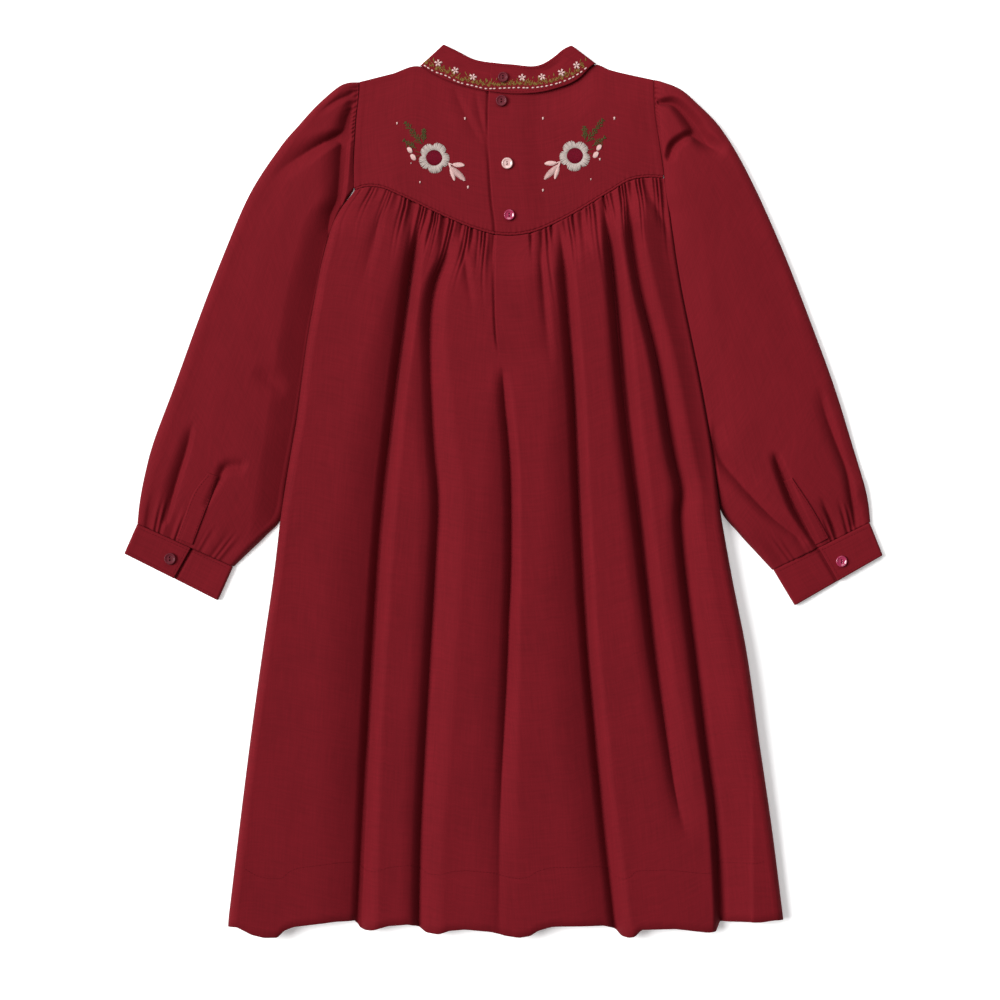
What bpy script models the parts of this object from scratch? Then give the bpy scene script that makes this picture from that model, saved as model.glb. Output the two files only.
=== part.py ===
"""A girl's long-sleeved gathered dress, laid flat on a table with its back up.

X runs across the dress, +Y runs from the hem to the collar, +Z is up.
Every size below is in millimetres; a piece is turned into metres when it is built.
"""
import math
from collections import namedtuple

import bpy
import numpy as np
from mathutils import Vector
from mathutils.bvhtree import BVHTree

# Driving sizes
MM = 0.001
MIDDLE = (-0.884, 0.065, 0.0)
CLOTH = 1.2
CUFF_CLOTH = 1.5
SEAM_GAP = 0.3
FRONT_TOP = CLOTH
FRONT_HEM = -366.0
FRONT_NECK_POINTS = 17
FRONT_NECK_MIDDLE = (3.0, 374.0)
YOKE_HEIGHT = 6.0
SHOULDER_HEIGHT = 2.9
SKIRT_TOP_HEIGHT = 8.2
SKIRT_HEIGHT = 20.5
SKIRT_RISE = 42.0
HEM_HEIGHT = 15.0
HEM_SINKS_OVER = 220.0
FOLD_SCALE = 1.25
LOWEST_BACK = 3.5
RIGHT_SIDE_DROP = 6.5
RIGHT_SIDE_SLOPE = 34.0
LAP_LIFT = 1.6
UNDERLAP = 24.0
UNDERLAP_DROP = 1.5
SLIT_END = 116.0
PIPING = 2.2
PIPING_LIFT = 0.6
PIPING_ROOM = (PIPING / 2.0 + SEAM_GAP) * 1.14
BUTTON_THICKNESS = 2.2
STEEPEST = 2.6
STEEPEST_SLEEVE = 1.35
CROWDING = 0.5

# Colours, linear light
RED = (0.205, 0.013, 0.021)
RED_PIPING = (0.170, 0.010, 0.017)
Shade = namedtuple("Shade", "name colour")
WINE = Shade("wine_button", (0.090, 0.006, 0.014))
PEARL_PINK = Shade("pearl_pink_button", (0.520, 0.220, 0.240))
MAGENTA = Shade("magenta_button", (0.330, 0.012, 0.060))

# The dress's outline: how far its sides lie from the middle at each height
Side = namedtuple("Side", "y left right")
SIDES = (
    Side(276, -126, 141.0),
    Side(264, -132.4, 142.6),
    Side(249, -143.5, 144.8),
    Side(238, -149.5, 146.6),
    Side(220, -155.5, 149.2),
    Side(203, -160.0, 151.6),
    Side(168, -167.0, 157.6),
    Side(132, -173.4, 165.0),
    Side(97, -178.2, 172.0),
    Side(62, -182.8, 178.4),
    Side(27, -188.8, 184.0),
    Side(-26, -197.1, 191.2),
    Side(-72, -202.6, 199.3),
    Side(-140, -212.5, 212.6),
    Side(-220, -223.6, 224.0),
    Side(-299, -233.6, 235.6),
    Side(-380, -243.4, 245.8),
)

# The yoke's lower seam
Seam = namedtuple("Seam", "x y")
YOKE_SEAM = (
    Seam(-133, 265.0),
    Seam(-125, 268.0),
    Seam(-110, 268.0),
    Seam(-92, 261.0),
    Seam(-57, 244.4),
    Seam(-22, 230.2),
    Seam(-7, 226.4),
    Seam(14, 226.2),
    Seam(27, 229.0),
    Seam(40, 234.3),
    Seam(58, 243.3),
    Seam(93, 264.2),
    Seam(110, 274.0),
    Seam(124, 276.8),
    Seam(141, 276.4),
)

# The back neckline, where the collar is sewn on, and the shoulders beside it
NECK_SEAM = (
    Seam(-128, 360.3),
    Seam(-100, 367.4),
    Seam(-73, 373.6),
    Seam(-62, 367.0),
    Seam(-51, 361.6),
    Seam(-39, 357.4),
    Seam(-15, 351.9),
    Seam(12, 349.4),
    Seam(43, 353.4),
    Seam(66, 363.4),
    Seam(79, 375.3),
    Seam(93, 371.0),
    Seam(132, 362.0),
)

# The armholes
Armhole = namedtuple("Armhole", "y left right")
ARMHOLES = (
    Armhole(376, -127.4, 131.4),
    Armhole(361, -127.9, 131.8),
    Armhole(345, -128.9, 132.0),
    Armhole(332, -130.6, 132.8),
    Armhole(312, -132.0, 135.8),
    Armhole(291, -133.0, 139.0),
    Armhole(265, -132.8, 142.6),
)

# The edge of the centre-back lap, running on as the fold below the slit
Lap = namedtuple("Lap", "y x")
LAP_EDGE = (
    Lap(376, -11.9),
    Lap(354, -13.4),
    Lap(311, -14.2),
    Lap(284, -12.8),
    Lap(257, -11.0),
    Lap(227, -7.6),
    Lap(203, -8.4),
    Lap(168, -8.2),
    Lap(132, -6.4),
    Lap(116, -4.2),
    Lap(81, -2.6),
    Lap(18, 3.6),
    Lap(-61, 4.4),
    Lap(-167, 0.6),
    Lap(-255, -4.0),
    Lap(-380, -6.5),
)

# The long folds of the skirt: a valley with a slope on each side, at stations down its length
Station = namedtuple("Station", "x y depth left right")
FOLD_ONE = (
    Station(-73, 250, 0.0, 9, 4),
    Station(-77, 231, 5.3, 10, 5),
    Station(-83, 198, 10.6, 16, 7),
    Station(-90, 146, 11.9, 26, 8),
    Station(-98, 84, 12.5, 36, 8),
    Station(-110, -26, 12.9, 44, 9),
    Station(-117, -132, 12.9, 46, 9),
    Station(-122, -220, 11.9, 44, 9),
    Station(-126, -308, 10.6, 42, 10),
    Station(-130, -392, 9.2, 40, 12),
)
FOLD_TWO = (
    Station(-46, 236, 0.0, 6, 5),
    Station(-53, 207, 5.3, 8, 8),
    Station(-63, 180, 7.9, 10, 9),
    Station(-67, 150, 7.9, 13, 10),
    Station(-67, 106, 7.3, 16, 12),
    Station(-64, 44, 7.4, 18, 14),
    Station(-60, -8, 7.7, 18, 16),
    Station(-62, -61, 7.7, 18, 16),
    Station(-68, -167, 7.4, 18, 16),
    Station(-75, -299, 7.1, 18, 14),
    Station(-77, -392, 6.6, 16, 14),
)
FOLD_CENTRE = (
    Station(-3.6, 108, 0.0, 7, 4),
    Station(-1.6, 81, 5.3, 14, 5),
    Station(3.6, 18, 8.4, 26, 6),
    Station(4.4, -61, 8.7, 30, 6),
    Station(2.4, -114, 8.2, 30, 7),
    Station(0.6, -167, 6.9, 28, 8),
    Station(-4, -255, 4.5, 26, 10),
    Station(-5.7, -308, 2.4, 24, 12),
    Station(-6.5, -392, 0.8, 22, 14),
)
FOLD_FOUR = (
    Station(46, 238, 0.0, 5, 5),
    Station(49, 216, 4.8, 7, 6),
    Station(53, 168, 7.1, 12, 7),
    Station(60, 80, 9.0, 20, 7),
    Station(65, -26, 10.0, 27, 7),
    Station(71, -132, 10.3, 30, 7),
    Station(77, -202, 9.8, 30, 8),
    Station(84, -272, 9.0, 30, 8),
    Station(90, -325, 8.2, 28, 9),
    Station(97, -392, 7.1, 26, 10),
)
FOLD_FIVE = (
    Station(83, 262, 0.0, 5, 4),
    Station(86, 250, 6.6, 7, 5),
    Station(91, 212, 10.6, 9, 7),
    Station(96, 168, 11.9, 12, 8),
    Station(105, 71, 12.4, 15, 9),
    Station(118, -35, 12.1, 17, 9),
    Station(129, -132, 10.3, 18, 10),
    Station(139, -202, 7.4, 18, 11),
    Station(150, -272, 3.7, 18, 12),
    Station(160, -305, 0.0, 16, 12),
)
FOLD_SIX = (
    Station(105, 272, 0.0, 4, 4),
    Station(107, 258, 5.8, 5, 6),
    Station(109, 225, 8.7, 7, 8),
    Station(117, 176, 9.2, 8, 10),
    Station(132, 115, 10.3, 10, 11),
    Station(146, 36, 11.4, 13, 12),
    Station(154, 0, 10.8, 15, 12),
    Station(153, -26, 10.0, 15, 13),
    Station(158, -79, 9.8, 16, 15),
    Station(169, -167, 9.0, 14, 20),
    Station(176, -228, 8.4, 10, 24),
    Station(183, -281, 8.4, 9, 26),
    Station(188, -352, 8.7, 9, 26),
    Station(189, -392, 8.7, 9, 26),
)
LONG_FOLDS = (FOLD_ONE, FOLD_TWO, FOLD_CENTRE, FOLD_FOUR, FOLD_FIVE, FOLD_SIX)

# Short folds that die out below the gathers, each from its top to its end
Short = namedtuple("Short", "x_top y_top x_end y_end depth width")
SHORT_FOLDS = (
    Short(-114, 262, -124, 246, 2.2, 4.0),
    Short(-105, 259, -127, 176, 2.6, 7.0),
    Short(-50, 238, -57, 206, 2.6, 4.0),
    Short(-39, 228, -28, 154, 3.0, 4.5),
    Short(-27, 226, -23, 190, 2.4, 3.5),
    Short(29, 224, 41, 97, 3.0, 5.0),
    Short(37, 229, 35, 201, 2.4, 3.5),
    Short(58, 236, 64, 189, 2.6, 4.0),
    Short(67, 243, 76, 200, 2.6, 4.0),
    Short(111, 268, 120, 238, 2.8, 3.5),
    Short(122, 272, 145, 224, 5.0, 5.0),
)

# Shallow creases of the yoke's left half
YOKE_CREASES = (
    (
        Station(-44, 352, 0.2, 6, 5),
        Station(-38, 338, 0.9, 9, 6),
        Station(-28, 318, 0.9, 10, 7),
        Station(-17, 300, 0.0, 8, 6),
    ),
    (
        Station(-26, 350, 0.0, 5, 4),
        Station(-22, 330, 0.7, 7, 5),
        Station(-16, 304, 0.3, 6, 4),
        Station(-15, 288, 0.0, 5, 4),
    ),
)

# The hem: it swings out below each ridge of the skirt and steps up where a fold laps over
HEM = (
    Seam(-244, -379.8),
    Seam(-233, -384.4),
    Seam(-222, -390.2),
    Seam(-211, -392.8),
    Seam(-199, -392.5),
    Seam(-194, -386.6),
    Seam(-185, -383.1),
    Seam(-148, -378.8),
    Seam(-130, -378.5),
    Seam(-128.5, -384.4),
    Seam(-123, -386.6),
    Seam(-116, -386.7),
    Seam(-102, -382.4),
    Seam(-85, -381.1),
    Seam(-76, -383.2),
    Seam(-69, -388.5),
    Seam(-58, -389.8),
    Seam(-48, -386.5),
    Seam(-35, -385.4),
    Seam(-11, -387.6),
    Seam(1, -391.0),
    Seam(13, -392.7),
    Seam(23, -391.0),
    Seam(29, -386.6),
    Seam(42, -382.9),
    Seam(88, -382.4),
    Seam(97, -385.2),
    Seam(103, -391.6),
    Seam(110, -393.0),
    Seam(115.6, -391.6),
    Seam(120, -385.8),
    Seam(150, -384.9),
    Seam(178, -388.2),
    Seam(187, -387.2),
    Seam(189, -379.4),
    Seam(225, -379.2),
    Seam(245, -376.2),
)
HEM_SOFTNESS = 1.4

# Columns of the skirt between one long fold and the next: how many gathers are sewn into each
Span = namedtuple("Span", "gathers")
SKIRT_SPANS = (Span(13), Span(7), Span(9), Span(9), Span(7), Span(5), Span(8))
SKIRT_ROWS_FINE = (0.0, 0.012, 0.032, 0.060, 0.092, 0.130)
SKIRT_ROWS_COARSE = (0.182, 0.25, 0.33, 0.42, 0.51, 0.60, 0.69, 0.78, 0.87, 0.95, 1.0)
GATHER_DEPTH = 4.2
GATHER_LENGTH = 30.0
PLAIN_FROM = -8.0
PLAIN_TO = 20.0

# Sleeves: one row per section, from the armhole to the cuff, outer edge to inner edge
LOWEST_SLEEVE = 2.9
ARMHOLE_FADE = 6.0
SLEEVE_SINK = {"left": 0.5, "right": 0.15}
SLEEVE_SINK_WIDTH = 26.0
CUFF_GATHERS = 14.0
CUFF_GATHER_DEPTH = 1.3
Section = namedtuple("Section", "outer_x outer_y inner_x inner_y height outer_roll inner_roll")
SLEEVE_LEFT = (
    Section(-128.2, 360.2, -133.2, 265.0, 4.6, 3.0, 3.0),
    Section(-138.5, 359.2, -140.6, 253.0, 9.5, 5.0, 5.0),
    Section(-148.3, 354.2, -148.8, 238.0, 12.0, 7.0, 6.0),
    Section(-165.0, 339.4, -154.6, 220.0, 13.0, 8.0, 7.0),
    Section(-181.8, 321.0, -159.2, 203.0, 13.0, 9.0, 7.0),
    Section(-198.6, 301.0, -164.2, 176.0, 12.6, 10.0, 7.0),
    Section(-225.0, 260.0, -171.2, 138.0, 12.0, 10.0, 7.0),
    Section(-250.2, 201.1, -178.6, 84.0, 12.0, 10.0, 7.0),
    Section(-269.8, 150.0, -185.6, 40.0, 12.4, 10.0, 7.0),
    Section(-290.4, 93.0, -191.8, 3.0, 13.0, 10.0, 7.0),
    Section(-308.6, 44.4, -196.4, -24.0, 13.0, 10.0, 7.0),
    Section(-316.4, 16.0, -211.0, -40.4, 12.0, 9.0, 7.0),
    Section(-321.4, -9.0, -225.4, -54.2, 9.6, 7.0, 6.0),
    Section(-323.4, -28.4, -238.4, -66.4, 6.6, 4.0, 4.0),
)
SLEEVE_RIGHT = (
    Section(132.1, 362.2, 141.9, 276.0, 4.6, 3.0, 3.0),
    Section(139.0, 360.2, 145.0, 258.0, 9.5, 5.0, 6.0),
    Section(154.0, 354.0, 148.5, 232.0, 12.0, 7.0, 8.0),
    Section(168.4, 342.2, 152.1, 205.0, 13.0, 8.0, 9.0),
    Section(191.8, 317.4, 156.5, 176.0, 13.0, 9.0, 9.0),
    Section(216.0, 276.0, 162.3, 144.0, 12.6, 10.0, 8.0),
    Section(245.0, 212.0, 171.0, 100.0, 12.0, 10.0, 8.0),
    Section(272.4, 141.4, 178.6, 57.0, 12.0, 10.0, 7.0),
    Section(290.4, 92.0, 184.9, 14.0, 12.4, 10.0, 7.0),
    Section(305.4, 44.4, 189.6, -17.0, 13.0, 10.0, 7.0),
    Section(315.0, 13.1, 206.4, -37.4, 12.0, 10.0, 7.0),
    Section(320.2, -8.0, 222.0, -54.6, 9.6, 8.0, 6.0),
    Section(322.4, -27.2, 235.8, -69.0, 6.6, 4.0, 4.0),
)

# Folds of the sleeves
SLEEVE_FOLDS_LEFT = (
    (
        Station(-134, 338, 3.0, 5, 5),
        Station(-139, 318, 6.0, 7, 7),
        Station(-141, 300, 6.0, 7, 8),
        Station(-142, 276, 5.0, 6, 8),
        Station(-142, 258, 2.0, 5, 6),
    ),
    (
        Station(-138, 312, 3.0, 6, 6),
        Station(-150, 311, 5.4, 8, 9),
        Station(-168, 302, 4.4, 12, 12),
        Station(-192, 286, 1.6, 16, 14),
        Station(-204, 276, 0.0, 14, 12),
    ),
    (
        Station(-134, 350, 1.6, 4, 4),
        Station(-150, 342, 1.8, 6, 6),
        Station(-166, 330, 0.0, 6, 6),
    ),
    (
        Station(-275, 60, 0.0, 6, 4),
        Station(-279, 40, 3.0, 10, 5),
        Station(-290, 4, 4.0, 12, 5),
        Station(-298, -26, 2.4, 8, 4),
    ),
    (
        Station(-222, 104, 0.0, 14, 12),
        Station(-206, 96, 2.2, 18, 16),
        Station(-194, 84, 0.0, 14, 12),
    ),
    (
        Station(-232, 22, 2.4, 10, 8),
        Station(-246, 20, 3.2, 8, 8),
        Station(-252, 8, 2.0, 6, 5),
        Station(-262, -12, 1.0, 5, 4),
    ),
)
SLEEVE_FOLDS_RIGHT = (
    (
        Station(136, 340, 4.0, 4, 5),
        Station(150, 340, 6.6, 6, 7),
        Station(166, 320, 7.2, 8, 8),
        Station(174, 309, 6.4, 9, 9),
        Station(192, 303, 0.0, 8, 8),
    ),
    (
        Station(146, 294, 3.4, 7, 7),
        Station(150, 304, 4.6, 7, 7),
        Station(163, 312, 3.6, 7, 7),
        Station(172, 310, 2.0, 7, 7),
    ),
    (
        Station(276, 92, 0.0, 10, 8),
        Station(283, 66, 2.6, 14, 8),
        Station(292, 42, 3.8, 14, 7),
        Station(302, 14, 3.8, 10, 5),
        Station(309, -30, 2.2, 7, 4),
    ),
    (
        Station(278, -6, 0.0, 5, 4),
        Station(285, -22, 2.4, 6, 4),
        Station(292, -40, 2.0, 5, 4),
    ),
    (
        Station(236, 34, 0.0, 8, 6),
        Station(242, 18, 5.6, 8, 7),
        Station(254, -12, 7.0, 8, 7),
        Station(266, -34, 5.0, 7, 6),
        Station(276, -50, 2.4, 6, 4),
    ),
    (
        Station(184, 62, 0.0, 10, 10),
        Station(187, 34, 3.6, 12, 14),
        Station(206, 8, 4.0, 12, 16),
        Station(234, -22, 3.4, 10, 14),
        Station(262, -44, 1.0, 8, 8),
    ),
)

# Cuffs: the four corners, and where the lap crosses from the upper to the lower edge
Cuff = namedtuple("Cuff", "outer_top inner_top inner_low outer_low lap_top lap_low")
CUFF_LEFT = Cuff(
    outer_top=(-323.6, -29.4),
    inner_top=(-239.4, -67.2),
    inner_low=(-252.6, -96.7),
    outer_low=(-335.0, -55.4),
    lap_top=0.56,
    lap_low=0.53,
)
CUFF_RIGHT = Cuff(
    outer_top=(321.8, -28.3),
    inner_top=(237.2, -70.0),
    inner_low=(256.0, -101.1),
    outer_low=(333.1, -56.9),
    lap_top=0.53,
    lap_low=0.51,
)
CUFF_HEIGHT = 6.2
CUFF_UNDER_HEIGHT = 4.4
CUFF_UNDERLAP = 0.22

# Plackets: the bound strip beside each sleeve slit, down the slit's edge
Strip = namedtuple("Strip", "x y width")
PLACKET_LEFT = (
    Strip(-251.5, 12.0, 9.0),
    Strip(-258.3, -6.0, 15.0),
    Strip(-266.8, -28.0, 15.5),
    Strip(-274.6, -47.6, 15.5),
)
PLACKET_RIGHT = (
    Strip(246.0, 8.0, 7.0),
    Strip(256.0, -14.0, 11.0),
    Strip(266.6, -33.0, 12.0),
    Strip(274.6, -47.6, 12.0),
)
PLACKET_CLOTH = 1.0

# Collar band: its upper edge at the back, and the front half under it
COLLAR_TOP = (
    Seam(-53.2, 392.9),
    Seam(-41, 387.0),
    Seam(-29, 380.8),
    Seam(-11, 377.0),
    Seam(5, 375.4),
    Seam(35, 376.4),
    Seam(45, 383.0),
    Seam(51.5, 388.4),
    Seam(58.5, 392.0),
)
FRONT_NECK = (
    Seam(-73, 373.0),
    Seam(-66, 354.0),
    Seam(-52, 334.0),
    Seam(-30, 320.0),
    Seam(3, 314.0),
    Seam(36, 320.0),
    Seam(58, 334.0),
    Seam(72, 354.0),
    Seam(79, 374.0),
)
FRONT_COLLAR_TOP = (
    Seam(-53, 388.0),
    Seam(-46, 362.0),
    Seam(-36, 347.0),
    Seam(-20, 340.0),
    Seam(3, 337.0),
    Seam(26, 340.0),
    Seam(42, 347.0),
    Seam(52, 362.0),
    Seam(58, 388.0),
)
COLLAR_LEFT = (-72.6, 373.9, -53.2, 392.9)
COLLAR_RIGHT = (78.8, 375.6, 58.5, 392.0)
COLLAR_HEIGHT = 6.2
COLLAR_UNDER_HEIGHT = 4.6
COLLAR_ROLL = 2.0

# Buttons
Button = namedtuple("Button", "name x y colour radius")
BUTTONS = (
    Button("button_collar", -1.3, 363.9, WINE, 4.6),
    Button("button_neck", -2.7, 343.3, WINE, 5.0),
    Button("button_yoke", 2.4, 287.9, PEARL_PINK, 5.0),
    Button("button_seam", 4.2, 242.5, MAGENTA, 4.8),
    Button("button_cuff_left", -294.4, -60.1, WINE, 5.2),
    Button("button_cuff_right", 296.7, -62.3, MAGENTA, 5.0),
)


# Curves through the tables
def smooth(value):
    value = np.clip(value, 0.0, 1.0)
    return value * value * (3.0 - 2.0 * value)


def mix(first, second, share):
    return first + (second - first) * share


def along(rows, given, wanted, at):
    """A smooth curve through one column of a table, read at places in another column."""
    rows = sorted(rows, key=lambda row: getattr(row, given))
    places = np.array([getattr(row, given) for row in rows], float)
    values = np.array([getattr(row, wanted) for row in rows], float)
    at = np.clip(np.asarray(at, float), places[0], places[-1])
    slopes = np.gradient(values, places)
    index = np.clip(np.searchsorted(places, at) - 1, 0, len(places) - 2)
    step = places[index + 1] - places[index]
    share = (at - places[index]) / step
    rest = 1.0 - share
    start = (1 + 2 * share) * rest ** 2 * values[index]
    start_slope = share * rest ** 2 * step * slopes[index]
    end = share ** 2 * (3 - 2 * share) * values[index + 1]
    end_slope = share ** 2 * (share - 1) * step * slopes[index + 1]
    return start + start_slope + end + end_slope


def along_rows(rows, wanted, share):
    """The same curve, read by its share of the table's length."""
    values = [getattr(row, wanted) for row in rows]
    Row = namedtuple("Row", "at value")
    numbered = [Row(number / (len(values) - 1), value) for number, value in enumerate(values)]
    return along(numbered, "at", "value", share)


# Folds
def fold_path(fold, steps=4):
    """The fold's stations with more of them put in between, as arrays."""
    shares = np.linspace(0.0, 1.0, (len(fold) - 1) * steps + 1)
    return {name: along_rows(fold, name, shares) for name in Station._fields}


def fold_depth(fold, x, y):
    """How far one fold presses the cloth down at each place."""
    path = fold_path(fold)
    best = np.full(np.shape(x), np.inf)
    pressed = np.zeros(np.shape(x))
    for number in range(len(path["x"]) - 1):
        from_x, from_y = path["x"][number], path["y"][number]
        run_x = path["x"][number + 1] - from_x
        run_y = path["y"][number + 1] - from_y
        length = math.hypot(run_x, run_y)
        share = ((x - from_x) * run_x + (y - from_y) * run_y) / length ** 2
        share = np.clip(share, 0.0, 1.0)
        off_x = x - from_x - share * run_x
        off_y = y - from_y - share * run_y
        distance = np.hypot(off_x, off_y)
        side = run_x * off_y - run_y * off_x
        depth = mix(path["depth"][number], path["depth"][number + 1], share)
        left = mix(path["left"][number], path["left"][number + 1], share)
        right = mix(path["right"][number], path["right"][number + 1], share)
        soft = (1.0 - np.clip(distance / left, 0.0, 1.0)) ** 2
        sharp = 1.0 - smooth(distance / right)
        shape = depth * np.where(side < 0.0, soft, sharp)
        nearer = distance < best
        best = np.where(nearer, distance, best)
        pressed = np.where(nearer, shape, pressed)
    return pressed


def short_fold(row):
    """A short fold's three stations."""
    middle_x = mix(row.x_top, row.x_end, 0.35)
    middle_y = mix(row.y_top, row.y_end, 0.35)
    return (
        Station(row.x_top, row.y_top, row.depth * 0.5, row.width, row.width),
        Station(middle_x, middle_y, row.depth, row.width * 1.3, row.width * 1.2),
        Station(row.x_end, row.y_end, 0.0, row.width * 1.8, row.width * 1.5),
    )


def folds_depth(folds, x, y):
    return sum(fold_depth(fold, x, y) for fold in folds)


# Solids
def make_material(name, colour, roughness):
    material = bpy.data.materials.get(name)
    if material:
        return material
    material = bpy.data.materials.new(name)
    material.use_nodes = True
    shader = material.node_tree.nodes["Principled BSDF"]
    shader.inputs["Base Color"].default_value = (*colour, 1.0)
    shader.inputs["Roughness"].default_value = roughness
    shader.inputs["Metallic"].default_value = 0.0
    material.diffuse_color = (*colour, 1.0)
    return material


def add_object(name, points, faces, material):
    mesh = bpy.data.meshes.new(name)
    mesh.from_pydata(((np.asarray(points) - MIDDLE) * MM).tolist(), [], faces)
    mesh.polygons.foreach_set("use_smooth", [True] * len(mesh.polygons))
    mesh.set_sharp_from_angle(angle=math.radians(50.0))
    if material:
        mesh.materials.append(material)
    mesh.update()
    made = bpy.data.objects.new(name, mesh)
    bpy.context.scene.collection.objects.link(made)
    return made


def open_edges(triangles):
    """The edges that only one triangle has, in that triangle's direction."""
    edges = set()
    for first, second, third in triangles:
        edges.update(((first, second), (second, third), (third, first)))
    return [edge for edge in edges if (edge[1], edge[0]) not in edges]


def add_wall(name, outer, inner, triangles, material):
    """A closed cloth wall between an outer and an inner skin."""
    count = len(outer)
    faces = list(triangles)
    faces += [(c + count, b + count, a + count) for a, b, c in triangles]
    for first, second in sorted(open_edges(triangles)):
        faces.append((second, first, first + count))
        faces.append((second, first + count, second + count))
    return add_object(name, np.vstack([outer, inner]), faces, material)


def band_faces(upper, lower):
    """Triangles between two rows of points, the lower with as many points or every second one."""
    faces = []
    if len(upper) == len(lower):
        for a, b, c, d in zip(upper, lower, lower[1:], upper[1:]):
            faces += [(a, b, c), (a, c, d)]
        return faces
    for number in range(len(lower) - 1):
        left, middle, right = upper[2 * number:2 * number + 3]
        below, beside = lower[number], lower[number + 1]
        faces += [(left, below, middle), (middle, below, beside), (middle, beside, right)]
    return faces


def grid_faces(rows):
    faces = []
    for upper, lower in zip(rows, rows[1:]):
        faces += band_faces(upper, lower)
    return faces


def wall_points(points, cloth=CLOTH):
    """The inner skin under a grid of outer points, kept as thick as the cloth on a slope."""
    down = np.gradient(points, axis=0)
    across = np.gradient(points, axis=1)
    normal = np.cross(down, across)
    length = np.linalg.norm(normal, axis=2)
    lean = length / np.maximum(np.abs(normal[..., 2]), length / STEEPEST)
    inner = points.copy()
    inner[..., 2] -= cloth * lean
    return inner


# The skirt of the back
def side_roll(y):
    """How far in the side's round edge reaches at each height."""
    return mix(2.0, 8.0, smooth((266.0 - np.asarray(y, float)) / 60.0))


def guides(y):
    """The lines the skirt's columns follow: both sides, the long folds and the lap."""
    left = along(SIDES, "y", "left", y) + side_roll(y)
    right = along(SIDES, "y", "right", y) - side_roll(y)
    folds = [along(fold, "y", "x", y) for fold in LONG_FOLDS]
    folds[2] = along(LAP_EDGE, "y", "x", y)
    folds[4] = np.where(y < -272.0, along_past(FOLD_FIVE, y), folds[4])
    return [left, *folds, right]


def along_past(fold, y):
    """A fold's line carried on straight below its end."""
    first, second = fold[-3], fold[-2]
    return second.x + (y - second.y) * (second.x - first.x) / (second.y - first.y) * 0.55


def column_x(column, y):
    """Where a column lies across the skirt at a height; whole numbers fall between gathers."""
    lines = guides(y)
    crowd = CROWDING * smooth((220.0 - y) / 90.0)
    x = np.zeros(np.shape(y))
    start = 0
    for number, span in enumerate(SKIRT_SPANS):
        share = (column - start) / span.gathers
        inside = (share >= 0.0) & (share <= 1.0)
        share = share - crowd * np.sin(2.0 * np.pi * share) / (2.0 * np.pi)
        x = np.where(inside, mix(lines[number], lines[number + 1], share), x)
        start += span.gathers
    return x


def hem_y(x):
    """The hem's line, its corners rounded a little."""
    places = [row.x for row in HEM]
    levels = [row.y for row in HEM]
    shifts = (-HEM_SOFTNESS, 0.0, HEM_SOFTNESS)
    return sum(np.interp(x + shift, places, levels) for shift in shifts) / len(shifts)


def seam_y(x):
    return along(YOKE_SEAM, "x", "y", x)


def column_ends(columns):
    """The height at which each column leaves the yoke seam and reaches the hem."""
    top = np.full(np.shape(columns), 240.0)
    low = np.full(np.shape(columns), -380.0)
    for _ in range(12):
        top = mix(top, seam_y(column_x(columns, top)) - PIPING_ROOM, 0.7)
        low = mix(low, hem_y(column_x(columns, low)), 0.7)
    return top, low


def uneven(number, seed):
    """A steady number from 0 to 1 that differs from gather to gather."""
    return 0.5 + 0.5 * np.sin(number * 12.9898 + seed * 4.1) * np.cos(number * 4.37 + seed)


def gather_depth(column, below_seam, seam_x):
    """Small gathers hung from the yoke seam, each its own depth and length."""
    number = np.floor(column)
    depth = GATHER_DEPTH * (0.45 + 0.55 * uneven(number, 1.0))
    length = GATHER_LENGTH * (0.4 + 1.2 * uneven(number, 2.0))
    wave = 0.5 - 0.5 * np.cos(2.0 * np.pi * column)
    plain = (seam_x > PLAIN_FROM) & (seam_x < PLAIN_TO)
    fade = np.exp(-(below_seam / length) ** 2)
    return np.where(plain, 0.0, depth * wave * fade)


def skirt_height(x, y, below_seam, above_hem):
    """The upper skin of the skirt without its gathers."""
    rise = smooth(below_seam / SKIRT_RISE)
    height = mix(SKIRT_TOP_HEIGHT, SKIRT_HEIGHT, rise)
    height = height - (SKIRT_HEIGHT - HEM_HEIGHT) * smooth(1.0 - above_hem / HEM_SINKS_OVER)
    height = height - right_side_drop(x, y) * rise
    folds = folds_depth(LONG_FOLDS, x, y) * FOLD_SCALE
    folds = folds + folds_depth([short_fold(row) for row in SHORT_FOLDS], x, y) * (0.4 + 0.6 * rise)
    height = height - folds * (0.3 + 0.7 * rise)
    return LOWEST_BACK + np.sqrt(np.maximum(height - LOWEST_BACK, 0.0) ** 2 + 0.09)


def right_side_drop(x, y):
    """The skirt's upper right side slopes down until it is level with the sleeve."""
    from_side = along(SIDES, "y", "right", y) - x
    high_up = smooth((np.asarray(y, float) - 60.0) / 120.0)
    return RIGHT_SIDE_DROP * (1.0 - smooth(from_side / RIGHT_SIDE_SLOPE)) * high_up


def lap_lift(x, y):
    """How much the right half is raised where it lies over the left one."""
    edge = along(LAP_EDGE, "y", "x", y)
    run_out = smooth((np.asarray(y, float) - SLIT_END) / 20.0)
    return LAP_LIFT * (1.0 - smooth((x - edge - 26.0) / 20.0)) * run_out


def skirt_points(columns, shares, right_half):
    """The upper skin of the skirt on a grid of rows and columns."""
    columns = np.asarray(columns, float)
    top, low = column_ends(columns)
    y = mix(top[None, :], low[None, :], np.asarray(shares, float)[:, None])
    x = column_x(np.broadcast_to(columns, y.shape), y)
    below = top[None, :] - y
    seam_x = np.broadcast_to(column_x(columns, top), y.shape)
    height = skirt_height(x, y, below, y - low[None, :])
    height = height - gather_depth(np.broadcast_to(columns, y.shape), below, seam_x)
    height = np.maximum(height, LOWEST_BACK)
    if right_half:
        height = height + lap_lift(x, y)
    return np.stack([x, y, height], axis=2)


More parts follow.
